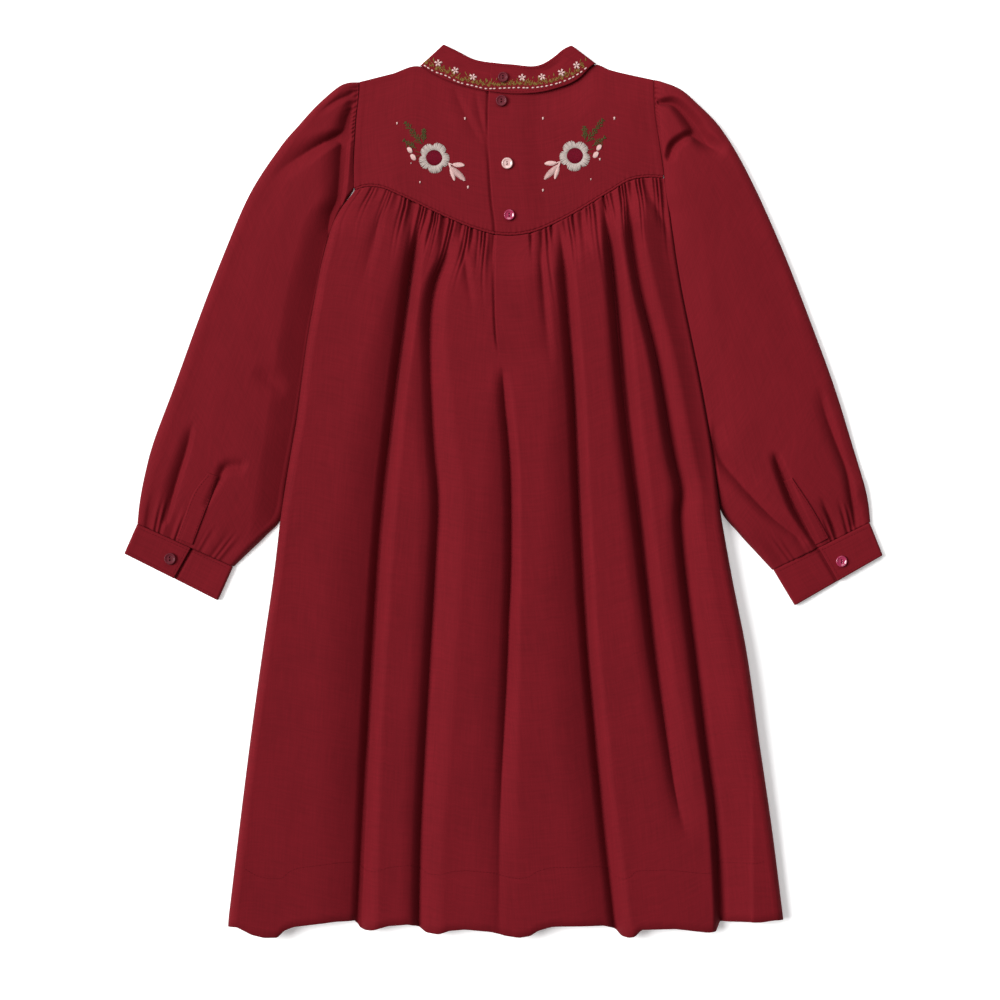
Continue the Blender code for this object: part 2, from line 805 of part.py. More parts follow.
def roll_points(edge, cloth, left_side):
    """The round side of the skirt, from the table up to the skirt's outermost column."""
    y = edge[:, 1]
    radius = side_roll(y)
    half = edge[:, 2] / 2.0
    sign = -1.0 if left_side else 1.0
    outer, inner = [], []
    for turn in np.radians((-90.0, -45.0, 0.0, 45.0)):
        outer.append(np.stack([
            edge[:, 0] + sign * radius * np.cos(turn),
            y,
            half + half * np.sin(turn),
        ], axis=1))
        inner.append(np.stack([
            edge[:, 0] + sign * np.maximum(radius - cloth, 0.5) * np.cos(turn),
            y,
            half + (half - cloth) * np.sin(turn),
        ], axis=1))
    return np.stack(outer, axis=1), np.stack(inner, axis=1)


class Skin:
    """Outer and inner points of one wall, with the triangles between them."""

    def __init__(self):
        self.outer = []
        self.inner = []
        self.faces = []
        self.count = 0

    def add(self, outer, inner):
        """Takes a grid of points and returns their numbers, row by row."""
        rows, columns = outer.shape[:2]
        numbers = np.arange(rows * columns).reshape(rows, columns) + self.count
        self.outer.append(outer.reshape(-1, 3))
        self.inner.append(inner.reshape(-1, 3))
        self.count += rows * columns
        return numbers.tolist()

    def build(self, name, material):
        outer, inner = np.vstack(self.outer), np.vstack(self.inner)
        return add_wall(name, outer, inner, self.faces, material)


def skirt_half(skin, first, last, right_half):
    """One half's rows of point numbers, finer near the gathers."""
    fine = np.arange(first, last + 0.25, 0.5)
    coarse = np.arange(first, last + 0.5, 1.0)
    fine_points = skirt_points(fine, SKIRT_ROWS_FINE, right_half)
    coarse_rows = (SKIRT_ROWS_FINE[-1],) + SKIRT_ROWS_COARSE
    coarse_points = skirt_points(coarse, coarse_rows, right_half)
    rows = skin.add(fine_points, wall_points(fine_points))
    rows += skin.add(coarse_points[1:], wall_points(coarse_points)[1:])
    edges = np.vstack([fine_points[:, 0], coarse_points[1:, 0]])
    ends = np.vstack([fine_points[:, -1], coarse_points[1:, -1]])
    return rows, edges, ends


def build_back_skirt(material):
    skin = Skin()
    centre = sum(span.gathers for span in SKIRT_SPANS[:3])
    last = sum(span.gathers for span in SKIRT_SPANS)
    left, left_edge, left_centre = skirt_half(skin, 0, centre, False)
    right, right_centre, right_edge = skirt_half(skin, centre, last, True)
    joined_from = len(SKIRT_ROWS_FINE)
    for row in range(joined_from, len(left)):
        left[row][-1] = right[row][0]
    skin.faces += grid_faces(left) + grid_faces(right)

    outer, inner = roll_points(left_edge, CLOTH, True)
    rolled = skin.add(outer, inner)
    skin.faces += grid_faces([roll + [row[0]] for roll, row in zip(rolled, left)])
    outer, inner = roll_points(right_edge, CLOTH, False)
    rolled = skin.add(outer[:, ::-1], inner[:, ::-1])
    skin.faces += grid_faces([[row[-1]] + roll for roll, row in zip(rolled, right)])

    under = underlap_points(left_centre[:joined_from])
    rows = skin.add(under, wall_points(under))
    skin.faces += grid_faces([[row[-1]] + lap for lap, row in zip(rows, left)])
    return skin.build("back_skirt", material)


def underlap_points(edge):
    """The part of the left half that lies under the right half, beside the slit."""
    points = []
    for share in (0.5, 1.0):
        reach = UNDERLAP * share
        x = edge[:, 0] + reach
        y = edge[:, 1]
        below = np.maximum(seam_y(x) - y, 0.0)
        over = skirt_height(x, y, below, y + 380.0) + lap_lift(x, y)
        z = over - CLOTH - UNDERLAP_DROP
        points.append(np.stack([x, np.minimum(y, seam_y(x) - 1.5), z], axis=1))
    return np.stack(points, axis=1)


# The yoke
def yoke_height(x, y):
    """The upper skin of the yoke: low at the shoulders, a little fuller in the middle."""
    from_shoulder = along(NECK_SEAM, "x", "y", x) - y
    side = np.minimum(x + 132.0, 142.0 - x)
    full = smooth(from_shoulder / 40.0) * smooth(side / 40.0)
    height = mix(SHOULDER_HEIGHT + 0.9 * smooth(from_shoulder / 25.0), YOKE_HEIGHT, full)
    return height - folds_depth(YOKE_CREASES, x, y) * smooth((-14.0 - x) / 3.0)


def yoke_points(columns, rows, from_x, to_x, right_half):
    """A grid over half the yoke, from the shoulder and neck down to the lower seam."""
    share_x = np.linspace(0.0, 1.0, columns)[None, :]
    share_y = np.linspace(0.0, 1.0, rows)[:, None]
    y = np.broadcast_to(mix(350.0, 250.0, share_y), (rows, columns))
    for _ in range(8):
        x = mix(from_x(y), to_x(y), share_x)
        top = along(NECK_SEAM, "x", "y", x) - SEAM_GAP
        low = seam_y(x) + PIPING_ROOM
        y = mix(top, low, share_y)
    height = yoke_height(x, y)
    if right_half:
        height = height + lap_lift(x, y)
    return np.stack([x, y, height], axis=2)


def build_yoke(name, material, right_half):
    def armhole_left(y):
        return along(ARMHOLES, "y", "left", y)

    def armhole_right(y):
        return along(ARMHOLES, "y", "right", y)

    def lap_edge(y):
        return along(LAP_EDGE, "y", "x", y)

    def underlap_edge(y):
        return lap_edge(y) + UNDERLAP

    if right_half:
        points = yoke_points(19, 8, lap_edge, armhole_right, True)
    else:
        points = yoke_points(19, 8, armhole_left, underlap_edge, False)
    skin = Skin()
    skin.faces = grid_faces(skin.add(points, wall_points(points)))
    return skin.build(name, material)


# Piping in the yoke seam
def build_piping(name, material, from_x, to_x, lift):
    """A thin cord along the yoke's lower seam."""
    stations, sides = 26, 6
    x = np.linspace(from_x, to_x, stations)
    y = seam_y(x)
    z = yoke_height(x, y) - PIPING / 2.0 + PIPING_LIFT
    if lift:
        z = z + lap_lift(x, y)
    path = np.stack([x, y, z], axis=1)
    run = np.gradient(path, axis=0)
    run /= np.linalg.norm(run, axis=1)[:, None]
    aside = np.cross(run, (0.0, 0.0, 1.0))
    aside /= np.linalg.norm(aside, axis=1)[:, None]
    over = np.cross(aside, run)
    points = []
    for side in range(sides):
        turn = 2.0 * math.pi * side / sides
        points.append(path + (aside * math.cos(turn) + over * math.sin(turn)) * PIPING / 2.0)
    points = np.stack(points, axis=1).reshape(-1, 3)
    faces = []
    for number in range(stations - 1):
        for side in range(sides):
            beside = (side + 1) % sides
            a, b = number * sides + side, number * sides + beside
            faces += [(a, a + sides, b + sides), (a, b + sides, b)]
    faces.append(tuple(range(sides)))
    faces.append(tuple(reversed(range((stations - 1) * sides, stations * sides))))
    return add_object(name, points, faces, material)


# The front panel
def skirt_side_points(last_column):
    """The points where the skirt's round side reaches the table, from the yoke to the hem."""
    column = np.array([float(last_column)])
    points = skirt_points(column, SKIRT_ROWS_FINE + SKIRT_ROWS_COARSE, False)
    return points[:, 0, :2]


def front_outline():
    """Once round the front panel, counter-clockwise, starting at the left shoulder."""
    gathers = sum(span.gathers for span in SKIRT_SPANS)
    left, right = skirt_side_points(0), skirt_side_points(gathers)
    hem_x = np.linspace(-228.0, 229.0, 21)
    hem = np.stack([hem_x, FRONT_HEM - 5.0 * smooth(1.0 - np.abs(hem_x) / 240.0)], axis=1)
    left = left[left[:, 1] > FRONT_HEM + 4.0] + (SEAM_GAP, 0.0)
    right = right[right[:, 1] > FRONT_HEM + 4.0] - (SEAM_GAP, 0.0)
    arm_y = np.linspace(359.6, 268.0, 12)
    arm_left = np.stack([along(ARMHOLES, "y", "left", arm_y), arm_y], axis=1)
    arm_y = np.linspace(361.2, 279.0, 12)
    arm_right = np.stack([along(ARMHOLES, "y", "right", arm_y), arm_y], axis=1)
    neck = front_curve(FRONT_NECK)
    return np.vstack([arm_left, left, hem, right[::-1], arm_right[::-1], neck])


def front_curve(rows):
    """Points of the front neckline or of the collar's front edge, from right to left."""
    shares = np.linspace(1.0, 0.0, FRONT_NECK_POINTS)
    return np.stack([along_rows(rows, "x", shares), along_rows(rows, "y", shares)], axis=1)


def build_front(material):
    """The hidden front: one plain piece from the shoulders to the hem, flat on the table."""
    outline = front_outline()
    count = len(outline)
    low = np.column_stack([outline, np.zeros(count)])
    high = np.column_stack([outline, np.full(count, FRONT_TOP)])
    faces = [tuple(range(count, 2 * count)), tuple(reversed(range(count)))]
    for first in range(count):
        second = (first + 1) % count
        faces.append((first, second, second + count, first + count))
    return add_object("front_panel", np.vstack([low, high]), faces, material)


# Sleeves
class SleeveGround:
    """Where the sleeve's sections lie on the table, and the way across each of them."""

    def __init__(self, sections, side, rows):
        self.side = side
        self.share = np.linspace(0.0, 1.0, rows)[:, None]
        self.table = {name: along_rows(sections, name, self.share) for name in Section._fields}
        self.start = np.concatenate([self.table["outer_x"], self.table["outer_y"]], axis=1)
        self.end = np.concatenate([self.table["inner_x"], self.table["inner_y"]], axis=1)
        self.width = np.linalg.norm(self.end - self.start, axis=1)[:, None]

    def place(self, across):
        """Points on the table, some way across every section; the first ones follow the armhole."""
        part = (across / self.width)[..., None]
        point = self.start[:, None] + (self.end - self.start)[:, None] * part
        seam = self.start[0] + (self.end[0] - self.start[0]) * part
        gap = -SEAM_GAP if self.side == "left" else SEAM_GAP
        bow = along(ARMHOLES, "y", self.side, seam[..., 1]) + gap - seam[..., 0]
        point[..., 0] += bow * np.maximum(0.0, 1.0 - self.share * ARMHOLE_FADE)
        return point

    def raised(self, across, height):
        spread = self.place(across)
        return np.concatenate([spread, np.broadcast_to(height, spread.shape[:2])[..., None]], axis=2)


def sleeve_roof(ground, folds, across, line_from, line_to):
    """How high the sleeve's upper side stands."""
    point = ground.place(across)
    x, y = point[..., 0], point[..., 1]
    middle = np.minimum(across - line_from, line_to - across) / (ground.width * 0.5)
    height = ground.table["height"] * (0.86 + 0.14 * smooth(middle * 1.6))
    height = height * (1.0 - sleeve_sink(x, y, ground.side))
    height = height - folds_depth(folds, x, y) * smooth(ground.share * 16.0)
    height = height - cuff_gathers(across / ground.width, ground.share)
    return np.maximum(height, LOWEST_SLEEVE)


def sleeve_sink(x, y, side):
    """The sleeve sinks towards the skirt, whose side lies over it."""
    edge = along(SIDES, "y", side, y)
    away = edge - x if side == "left" else x - edge
    below_armhole = smooth((262.0 - y) / 20.0)
    return SLEEVE_SINK[side] * (1.0 - smooth(away / SLEEVE_SINK_WIDTH)) * below_armhole


def cuff_gathers(part, share):
    """Small gathers where the sleeve is drawn into its cuff."""
    near = smooth((share - 0.86) / 0.14)
    outer_side = smooth((part - 0.04) / 0.04) * smooth((0.47 - part) / 0.04)
    inner_side = smooth((part - 0.6) / 0.1) * smooth((0.95 - part) / 0.1)
    place = np.maximum(outer_side, 0.5 * inner_side)
    wave = 0.5 - 0.5 * np.cos(2.0 * np.pi * part * CUFF_GATHERS)
    return CUFF_GATHER_DEPTH * near * place * wave


def sleeve_skins(sections, folds, side, rows, roof_columns, floor_columns):
    """The outer and inner skins of a sleeve, one ring a row, from the armhole to the cuff."""
    ground = SleeveGround(sections, side, rows)
    line_from = ground.table["outer_roll"]
    line_to = ground.width - ground.table["inner_roll"]
    across = mix(line_from, line_to, np.linspace(0.0, 1.0, roof_columns)[None, :])
    height = sleeve_roof(ground, folds, across, line_from, line_to)
    slope = np.gradient(height, axis=1) / np.gradient(across, axis=1)
    lean = np.minimum(np.sqrt(1.0 + slope ** 2), STEEPEST_SLEEVE)

    turn = np.radians((-90.0, -45.0, 0.0, 45.0))[None, :]
    roll, half = line_from, height[:, :1] / 2.0
    outer = [ground.raised(line_from - roll * np.cos(turn), half + half * np.sin(turn))]
    inner = [ground.raised(line_from - (roll - CLOTH) * np.cos(turn), half + (half - CLOTH) * np.sin(turn))]

    outer.append(ground.raised(across, height))
    inner.append(ground.raised(across, height - CLOTH * lean))

    turn = np.radians((60.0, 30.0, 0.0))[None, :]
    roll, top = ground.table["inner_roll"], height[:, -1:]
    outer.append(ground.raised(line_to + roll * np.cos(turn), top * np.sin(turn)))
    inner.append(ground.raised(
        line_to + (roll - CLOTH) * np.cos(turn),
        CLOTH + (top - 2.0 * CLOTH) * np.sin(turn),
    ))

    steps = np.linspace(1.0, 0.0, floor_columns + 2)[None, 1:-1]
    across = mix(line_from, line_to, steps)
    outer.append(ground.raised(across, 0.0))
    inner.append(ground.raised(across, CLOTH))
    return np.concatenate(outer, axis=1), np.concatenate(inner, axis=1)


def build_sleeve(name, material, sections, folds, side):
    outer, inner = sleeve_skins(sections, folds, side, 20, 24, 3)
    skin = Skin()
    rows = skin.add(outer, inner)
    closed = [row + [row[0]] for row in rows]
    if side == "right":
        closed = [row[::-1] for row in closed]
    skin.faces = grid_faces(closed)
    return skin.build(name, material)


# Bands: the collar and the cuffs, each a flattened strip with its end lapped over its start
def build_band(name, material, stations, cloth):
    """Stations hold the strip's lower and upper edge points and the way its face looks."""
    low = np.array([station[0] for station in stations])
    high = np.array([station[1] for station in stations])
    face = np.array([station[2] for station in stations])
    face = face / np.linalg.norm(face, axis=1)[:, None]
    outer = np.stack([low, mix(low, high, 0.5), high], axis=0)
    inner = outer - face[None, :, :] * cloth
    looks = np.cross(high[0] - low[0], low[1] - low[0])
    if np.dot(looks, face[0]) < 0.0:
        outer, inner = outer[::-1], inner[::-1]
    skin = Skin()
    skin.faces = grid_faces(skin.add(outer, inner))
    return skin.build(name, material)


def cuff_stations(cuff):
    """Round the cuff: from the lap's edge out, under, and back up beneath the lap."""
    outer_top, inner_top = np.array(cuff.outer_top), np.array(cuff.inner_top)
    outer_low, inner_low = np.array(cuff.outer_low), np.array(cuff.inner_low)
    wide = (inner_top - outer_top) / np.linalg.norm(inner_top - outer_top)
    stations = []

    def put(share_top, share_low, z, look, out=0.0):
        top = mix(outer_top, inner_top, share_top) + wide * out
        low = mix(outer_low, inner_low, share_low) + wide * out
        aside = wide * look[0]
        stations.append(((*low, z), (*top, z), (aside[0], aside[1], look[1])))

    roll = 2.2 / np.linalg.norm(inner_top - outer_top)
    for step in np.linspace(0.0, 1.0, 6):
        put(mix(cuff.lap_top, roll, step), mix(cuff.lap_low, roll, step), CUFF_HEIGHT, (0, 1))
    for turn in np.radians((45.0, 0.0, -45.0)):
        half = CUFF_HEIGHT / 2.0
        put(roll, roll, half + half * math.sin(turn), (-math.cos(turn), math.sin(turn)),
            -2.2 * math.cos(turn))
    for step in np.linspace(0.0, 1.0, 5):
        put(mix(roll, 1.0 - roll, step), mix(roll, 1.0 - roll, step), 0.0, (0, -1))
    for turn in np.radians((-45.0, 0.0, 45.0)):
        half = (CUFF_HEIGHT - 0.6) / 2.0
        put(1.0 - roll, 1.0 - roll, half + half * math.sin(turn), (math.cos(turn), math.sin(turn)),
            2.2 * math.cos(turn))
    for step, z in ((0.0, CUFF_HEIGHT - 0.6), (0.4, CUFF_HEIGHT - 0.8), (0.75, 4.9),
                    (0.97, CUFF_UNDER_HEIGHT)):
        put(mix(1.0 - roll, cuff.lap_top, step), mix(1.0 - roll, cuff.lap_low, step), z, (0, 1))
    for step in (0.5, 1.0):
        reach = CUFF_UNDERLAP * step
        put(cuff.lap_top - reach, cuff.lap_low - reach, CUFF_UNDER_HEIGHT, (0, 1))
    return stations


def collar_stations():
    """Round the collar: from the lap's edge right, under the front, and back up on the left."""
    stations = []

    def back(x_low, x_high, z):
        low = along(NECK_SEAM, "x", "y", x_low) + SEAM_GAP
        high = along(COLLAR_TOP, "x", "y", x_high)
        stations.append(((x_low, low, z), (x_high, high, z), (0, 0, 1)))

    def turn_at(corner, z, look, out):
        base_x, base_y, top_x, top_y = corner
        base = (base_x + out, base_y + 0.5, z)
        top = (top_x + out * 0.6, top_y, z)
        stations.append((base, top, look))

    lap_low, lap_high = -13.4, -11.6
    for step in np.linspace(0.0, 1.0, 11)[:-1]:
        back(mix(lap_low, 77.4, step), mix(lap_high, 57.6, step), COLLAR_HEIGHT)
    for turn in np.radians((55.0, 0.0, -55.0)):
        half = COLLAR_HEIGHT / 2.0
        out = COLLAR_ROLL * math.cos(turn)
        look = (math.cos(turn), 0.25 * math.cos(turn), math.sin(turn))
        turn_at(COLLAR_RIGHT, half + half * math.sin(turn), look, out)
    for low, high in zip(front_curve(FRONT_NECK), front_curve(FRONT_COLLAR_TOP)):
        inward = np.array(FRONT_NECK_MIDDLE) - low
        low = low + inward / np.linalg.norm(inward) * SEAM_GAP * 1.6
        stations.append(((*low, 0.0), (*high, 0.0), (0, 0, -1)))
    for turn in np.radians((-55.0, 0.0, 55.0)):
        half = COLLAR_UNDER_HEIGHT / 2.0
        out = -COLLAR_ROLL * math.cos(turn)
        look = (-math.cos(turn), 0.25 * math.cos(turn), math.sin(turn))
        turn_at(COLLAR_LEFT, half + half * math.sin(turn), look, out)
    for step in (0.02, 0.2, 0.4, 0.6, 0.8, 1.0):
        back(mix(-71.6, -15.5, step), mix(-52.4, -13.5, step), COLLAR_UNDER_HEIGHT)
    for reach in (0.5, 1.0):
        back(lap_low + UNDERLAP * reach, lap_high + UNDERLAP * reach, COLLAR_UNDER_HEIGHT)
    return stations


# What lies on the cloth
def top_of(*pieces):
    """A way to ask how high the upper skin of some pieces is at a place, in millimetres."""
    trees = [BVHTree.FromPolygons(
        [vertex.co for vertex in piece.data.vertices],
        [tuple(polygon.vertices) for polygon in piece.data.polygons],
    ) for piece in pieces]

    def height(x, y):
        start = Vector(((x - MIDDLE[0]) * MM, (y - MIDDLE[1]) * MM, 1.0))
        hits = [tree.ray_cast(start, Vector((0.0, 0.0, -1.0)))[0] for tree in trees]
        return max([hit.z / MM for hit in hits if hit] + [0.0])

    return height


def highest_around(height, x, y, reach):
    """The highest of the cloth's heights in a round area."""
    found = [height(x, y)]
    for turn in np.linspace(0.0, 2.0 * math.pi, 17)[:-1]:
        for share in (0.5, 1.0):
            out = reach * share
            found.append(height(x + out * math.cos(turn), y + out * math.sin(turn)))
    return max(found)


def build_placket(name, material, strips, sleeve, side):
    """A flat strip lying on the sleeve beside its slit."""
    rows, columns = 8, 3
    shares = np.linspace(0.0, 1.0, rows)
    x = along_rows(strips, "x", shares)
    y = along_rows(strips, "y", shares)
    width = along_rows(strips, "width", shares)
    run = np.stack([np.gradient(x), np.gradient(y)], axis=1)
    run /= np.linalg.norm(run, axis=1)[:, None]
    aside = np.stack([run[:, 1], -run[:, 0]], axis=1) * side
    points = np.zeros((rows, columns, 3))
    for column in range(columns):
        reach = width * column / (columns - 1)
        points[:, column, 0] = x + aside[:, 0] * reach
        points[:, column, 1] = y + aside[:, 1] * reach
    height = top_of(sleeve)
    for row in range(rows):
        for column in range(columns):
            x_here, y_here = points[row, column, :2]
            points[row, column, 2] = highest_around(height, x_here, y_here, 3.0)
    points[..., 2] += SEAM_GAP + PLACKET_CLOTH
    if side < 0:
        points = points[:, ::-1]
    inner = points.copy()
    inner[..., 2] -= PLACKET_CLOTH
    skin = Skin()
    skin.faces = grid_faces(skin.add(points[:, ::-1], inner[:, ::-1]))
    return skin.build(name, material)


# Buttons
Turning = namedtuple("Turning", "reach rise")
BUTTON_PROFILE = (
    Turning(0.55, 0.0),
    Turning(0.92, 0.12),
    Turning(1.0, 0.42),
    Turning(0.96, 0.82),
    Turning(0.84, 1.0),
    Turning(0.70, 0.86),
    Turning(0.56, 0.72),
)
BUTTON_SIDES = 14
HOLE_SIDES = 8
HOLE_AWAY = 0.24
HOLE_RADIUS = 0.13


def ring_points(x, y, z, radius, sides):
    """Points once round a level circle."""
    turns = 2.0 * np.pi * np.arange(sides) / sides
    return [(x + radius * math.cos(turn), y + radius * math.sin(turn), z) for turn in turns]


def build_button(button, material, under):
    """A turned two-hole button: a dished face inside a round rim."""
    points, faces = [], []
    for row in BUTTON_PROFILE:
        level = under + BUTTON_THICKNESS * row.rise
        points += ring_points(button.x, button.y, level, button.radius * row.reach, BUTTON_SIDES)
    rings, sides = len(BUTTON_PROFILE), BUTTON_SIDES
    for ring in range(rings - 1):
        for side in range(sides):
            beside = (side + 1) % sides
            a, b = ring * sides + side, ring * sides + beside
            faces += [(a, b, b + sides), (a, b + sides, a + sides)]
    faces.append(tuple(reversed(range(sides))))
    faces.append(tuple(range((rings - 1) * sides, rings * sides)))
    made = add_object(button.name, points, faces, material)
    for hole in (-1.0, 1.0):
        cutter = hole_cutter(button, hole * button.radius * HOLE_AWAY, under)
        cut = made.modifiers.new("hole", "BOOLEAN")
        cut.operation = "DIFFERENCE"
        cut.solver = "EXACT"
        cut.object = cutter
    return made


def hole_cutter(button, offset, under):
    """A small cylinder through the button, used only to cut one of its holes."""
    sides, radius = HOLE_SIDES, button.radius * HOLE_RADIUS
    points = []
    for z in (under - 1.0, under + BUTTON_THICKNESS + 1.0):
        points += ring_points(button.x, button.y + offset, z, radius, sides)
    faces = [tuple(reversed(range(sides))), tuple(range(sides, 2 * sides))]
    for side in range(sides):
        beside = (side + 1) % sides
        faces.append((side, beside, beside + sides, side + sides))
    cutter = add_object(f"{button.name}_cutter", points, faces, None)
    cutter.hide_render = True
    cutter.display_type = "WIRE"
    return cutter


def clear_scene():
    for old in list(bpy.data.objects):
        bpy.data.objects.remove(old, do_unlink=True)


def main():
    clear_scene()
    red = make_material("red_cloth", RED, 0.85)
    cord = make_material("piping_cloth", RED_PIPING, 0.8)
    build_front(red)
    build_back_skirt(red)
    build_yoke("back_yoke_left", red, False)
    right_yoke = build_yoke("back_yoke_right", red, True)
    build_piping("yoke_piping_left", cord, -131.0, -11.0, False)
    build_piping("yoke_piping_right", cord, -7.4, 139.6, True)
    collar = build_band("collar_band", red, collar_stations(), CLOTH)
    left_sleeve = build_sleeve("sleeve_left", red, SLEEVE_LEFT, SLEEVE_FOLDS_LEFT, "left")
    right_sleeve = build_sleeve("sleeve_right", red, SLEEVE_RIGHT, SLEEVE_FOLDS_RIGHT, "right")
    build_placket("sleeve_placket_left", red, PLACKET_LEFT, left_sleeve, 1.0)
    build_placket("sleeve_placket_right", red, PLACKET_RIGHT, right_sleeve, -1.0)
    left_cuff = build_band("cuff_left", red, cuff_stations(CUFF_LEFT), CUFF_CLOTH)
    right_cuff = build_band("cuff_right", red, cuff_stations(CUFF_RIGHT), CUFF_CLOTH)
    height = top_of(right_yoke, collar, left_cuff, right_cuff)
    for button in BUTTONS:
        under = highest_around(height, button.x, button.y, button.radius) + SEAM_GAP
        material = make_material(button.colour.name, button.colour.colour, 0.25)
        build_button(button, material, under)


main()
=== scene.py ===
# %% [markdown]
# # A girl's gathered dress, laid flat with its back up
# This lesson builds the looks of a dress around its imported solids.
# Each cell explains one step in words, and then does it.
# The frame comes first: every piece below sits where that frame says.

# %% Load the frame
import math
from collections import namedtuple

import bpy
import numpy as np
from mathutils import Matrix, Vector
from mathutils.bvhtree import BVHTree


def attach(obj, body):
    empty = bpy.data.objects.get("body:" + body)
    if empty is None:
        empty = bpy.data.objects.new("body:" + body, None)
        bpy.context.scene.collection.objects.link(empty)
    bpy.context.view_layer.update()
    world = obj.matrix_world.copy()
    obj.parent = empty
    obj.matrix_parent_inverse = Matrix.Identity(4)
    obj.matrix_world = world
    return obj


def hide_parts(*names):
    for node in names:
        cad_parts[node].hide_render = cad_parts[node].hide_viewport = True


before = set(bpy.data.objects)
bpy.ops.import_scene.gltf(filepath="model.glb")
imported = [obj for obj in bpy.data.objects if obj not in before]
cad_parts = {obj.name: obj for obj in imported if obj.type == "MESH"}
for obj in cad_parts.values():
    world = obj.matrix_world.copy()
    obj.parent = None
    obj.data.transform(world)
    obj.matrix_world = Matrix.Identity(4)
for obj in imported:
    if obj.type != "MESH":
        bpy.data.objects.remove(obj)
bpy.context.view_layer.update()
print("frame nodes:", len(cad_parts))

# %% [markdown]
# ## The sizes the dress is made from
# All sizes are in millimetres, measured flat on the dress, with X across and Y up towards the collar.
# The same short tables made the solids, so a finer surface from them lies where the solid lies.
# `MIDDLE` moves the middle of the dress to the middle of the frame.

# %% Driving sizes
MM = 0.001
MIDDLE = (-0.884, 0.065, 0.0)
CLOTH = 1.2
CUFF_CLOTH = 1.5
SEAM_GAP = 0.3
ROUND_EDGE = 0.14
YOKE_HEIGHT = 6.0
SHOULDER_HEIGHT = 2.9
SKIRT_TOP_HEIGHT = 8.2
SKIRT_HEIGHT = 20.5
SKIRT_RISE = 42.0
HEM_HEIGHT = 15.0
HEM_SINKS_OVER = 220.0
FOLD_SCALE = 1.5
FOLD_SHIFT = 1.5
LOWEST_BACK = 3.5
RIGHT_SIDE_DROP = 11.0
RIGHT_SIDE_SLOPE = 34.0
LAP_LIFT = 1.6
UNDERLAP = 24.0
UNDERLAP_DROP = 1.5
SLIT_END = 116.0
PIPING = 2.2
PIPING_LIFT = 0.6
PIPING_ROOM = (PIPING / 2.0 + SEAM_GAP) * 1.14
PIPING_CLOSE = 1.3
STEEPEST = 2.6

Side = namedtuple("Side", "y left right")
SIDES = (
    Side(276, -126, 141.0),
    Side(264, -132.4, 142.6),
    Side(249, -143.5, 144.8),
    Side(238, -149.5, 146.6),
    Side(220, -155.5, 149.2),
    Side(203, -160.0, 151.6),
    Side(168, -167.0, 157.6),
    Side(132, -173.4, 165.0),
    Side(97, -178.2, 172.0),
    Side(62, -182.8, 178.4),
    Side(27, -188.8, 184.0),
    Side(-26, -197.1, 191.2),
    Side(-72, -202.6, 199.3),
    Side(-140, -212.5, 212.6),
    Side(-220, -223.6, 224.0),
    Side(-299, -233.6, 235.6),
    Side(-380, -243.4, 245.8),
)

Seam = namedtuple("Seam", "x y")
YOKE_SEAM = (
    Seam(-133, 265.0),
    Seam(-125, 268.0),
    Seam(-110, 268.0),
    Seam(-92, 261.0),
    Seam(-57, 244.4),
    Seam(-22, 230.2),
    Seam(-7, 226.4),
    Seam(14, 226.2),
    Seam(27, 229.0),
    Seam(40, 234.3),
    Seam(58, 243.3),
    Seam(93, 264.2),
    Seam(110, 274.0),
    Seam(124, 276.8),
    Seam(141, 276.4),
)
NECK_SEAM = (
    Seam(-128, 360.3),
    Seam(-100, 367.4),
    Seam(-73, 373.6),
    Seam(-62, 367.0),
    Seam(-51, 361.6),
    Seam(-39, 357.4),
    Seam(-15, 351.9),
    Seam(12, 349.4),
    Seam(43, 353.4),
    Seam(66, 363.4),
    Seam(79, 375.3),
    Seam(93, 371.0),
    Seam(132, 362.0),
)
Armhole = namedtuple("Armhole", "y left right")
ARMHOLES = (
    Armhole(376, -127.4, 131.4),
    Armhole(361, -127.9, 131.8),
    Armhole(345, -128.9, 132.0),
    Armhole(332, -130.6, 132.8),
    Armhole(312, -132.0, 135.8),
    Armhole(291, -133.0, 139.0),
    Armhole(265, -132.8, 142.6),
)
Lap = namedtuple("Lap", "y x")
LAP_EDGE = (
    Lap(376, -11.9),
    Lap(354, -13.4),
    Lap(311, -14.2),
    Lap(284, -12.8),
    Lap(257, -11.0),
    Lap(227, -7.6),
    Lap(203, -8.4),
    Lap(168, -8.2),
    Lap(132, -6.4),
    Lap(116, -4.2),
    Lap(81, -2.6),
    Lap(18, 3.6),
    Lap(-61, 4.4),
    Lap(-167, 0.6),
    Lap(-255, -4.0),
    Lap(-380, -6.5),
)
print("sides, seams, armholes and lap:", len(SIDES), len(YOKE_SEAM), len(ARMHOLES), len(LAP_EDGE))

# %% [markdown]
# ## The folds of the skirt
# A loose skirt laid on a table keeps a few long folds that run from the gathers to the hem.
# Each one is a valley with a soft slope on one side and a steep one on the other, written down at
# stations along its length. Short folds die out below the gathers.

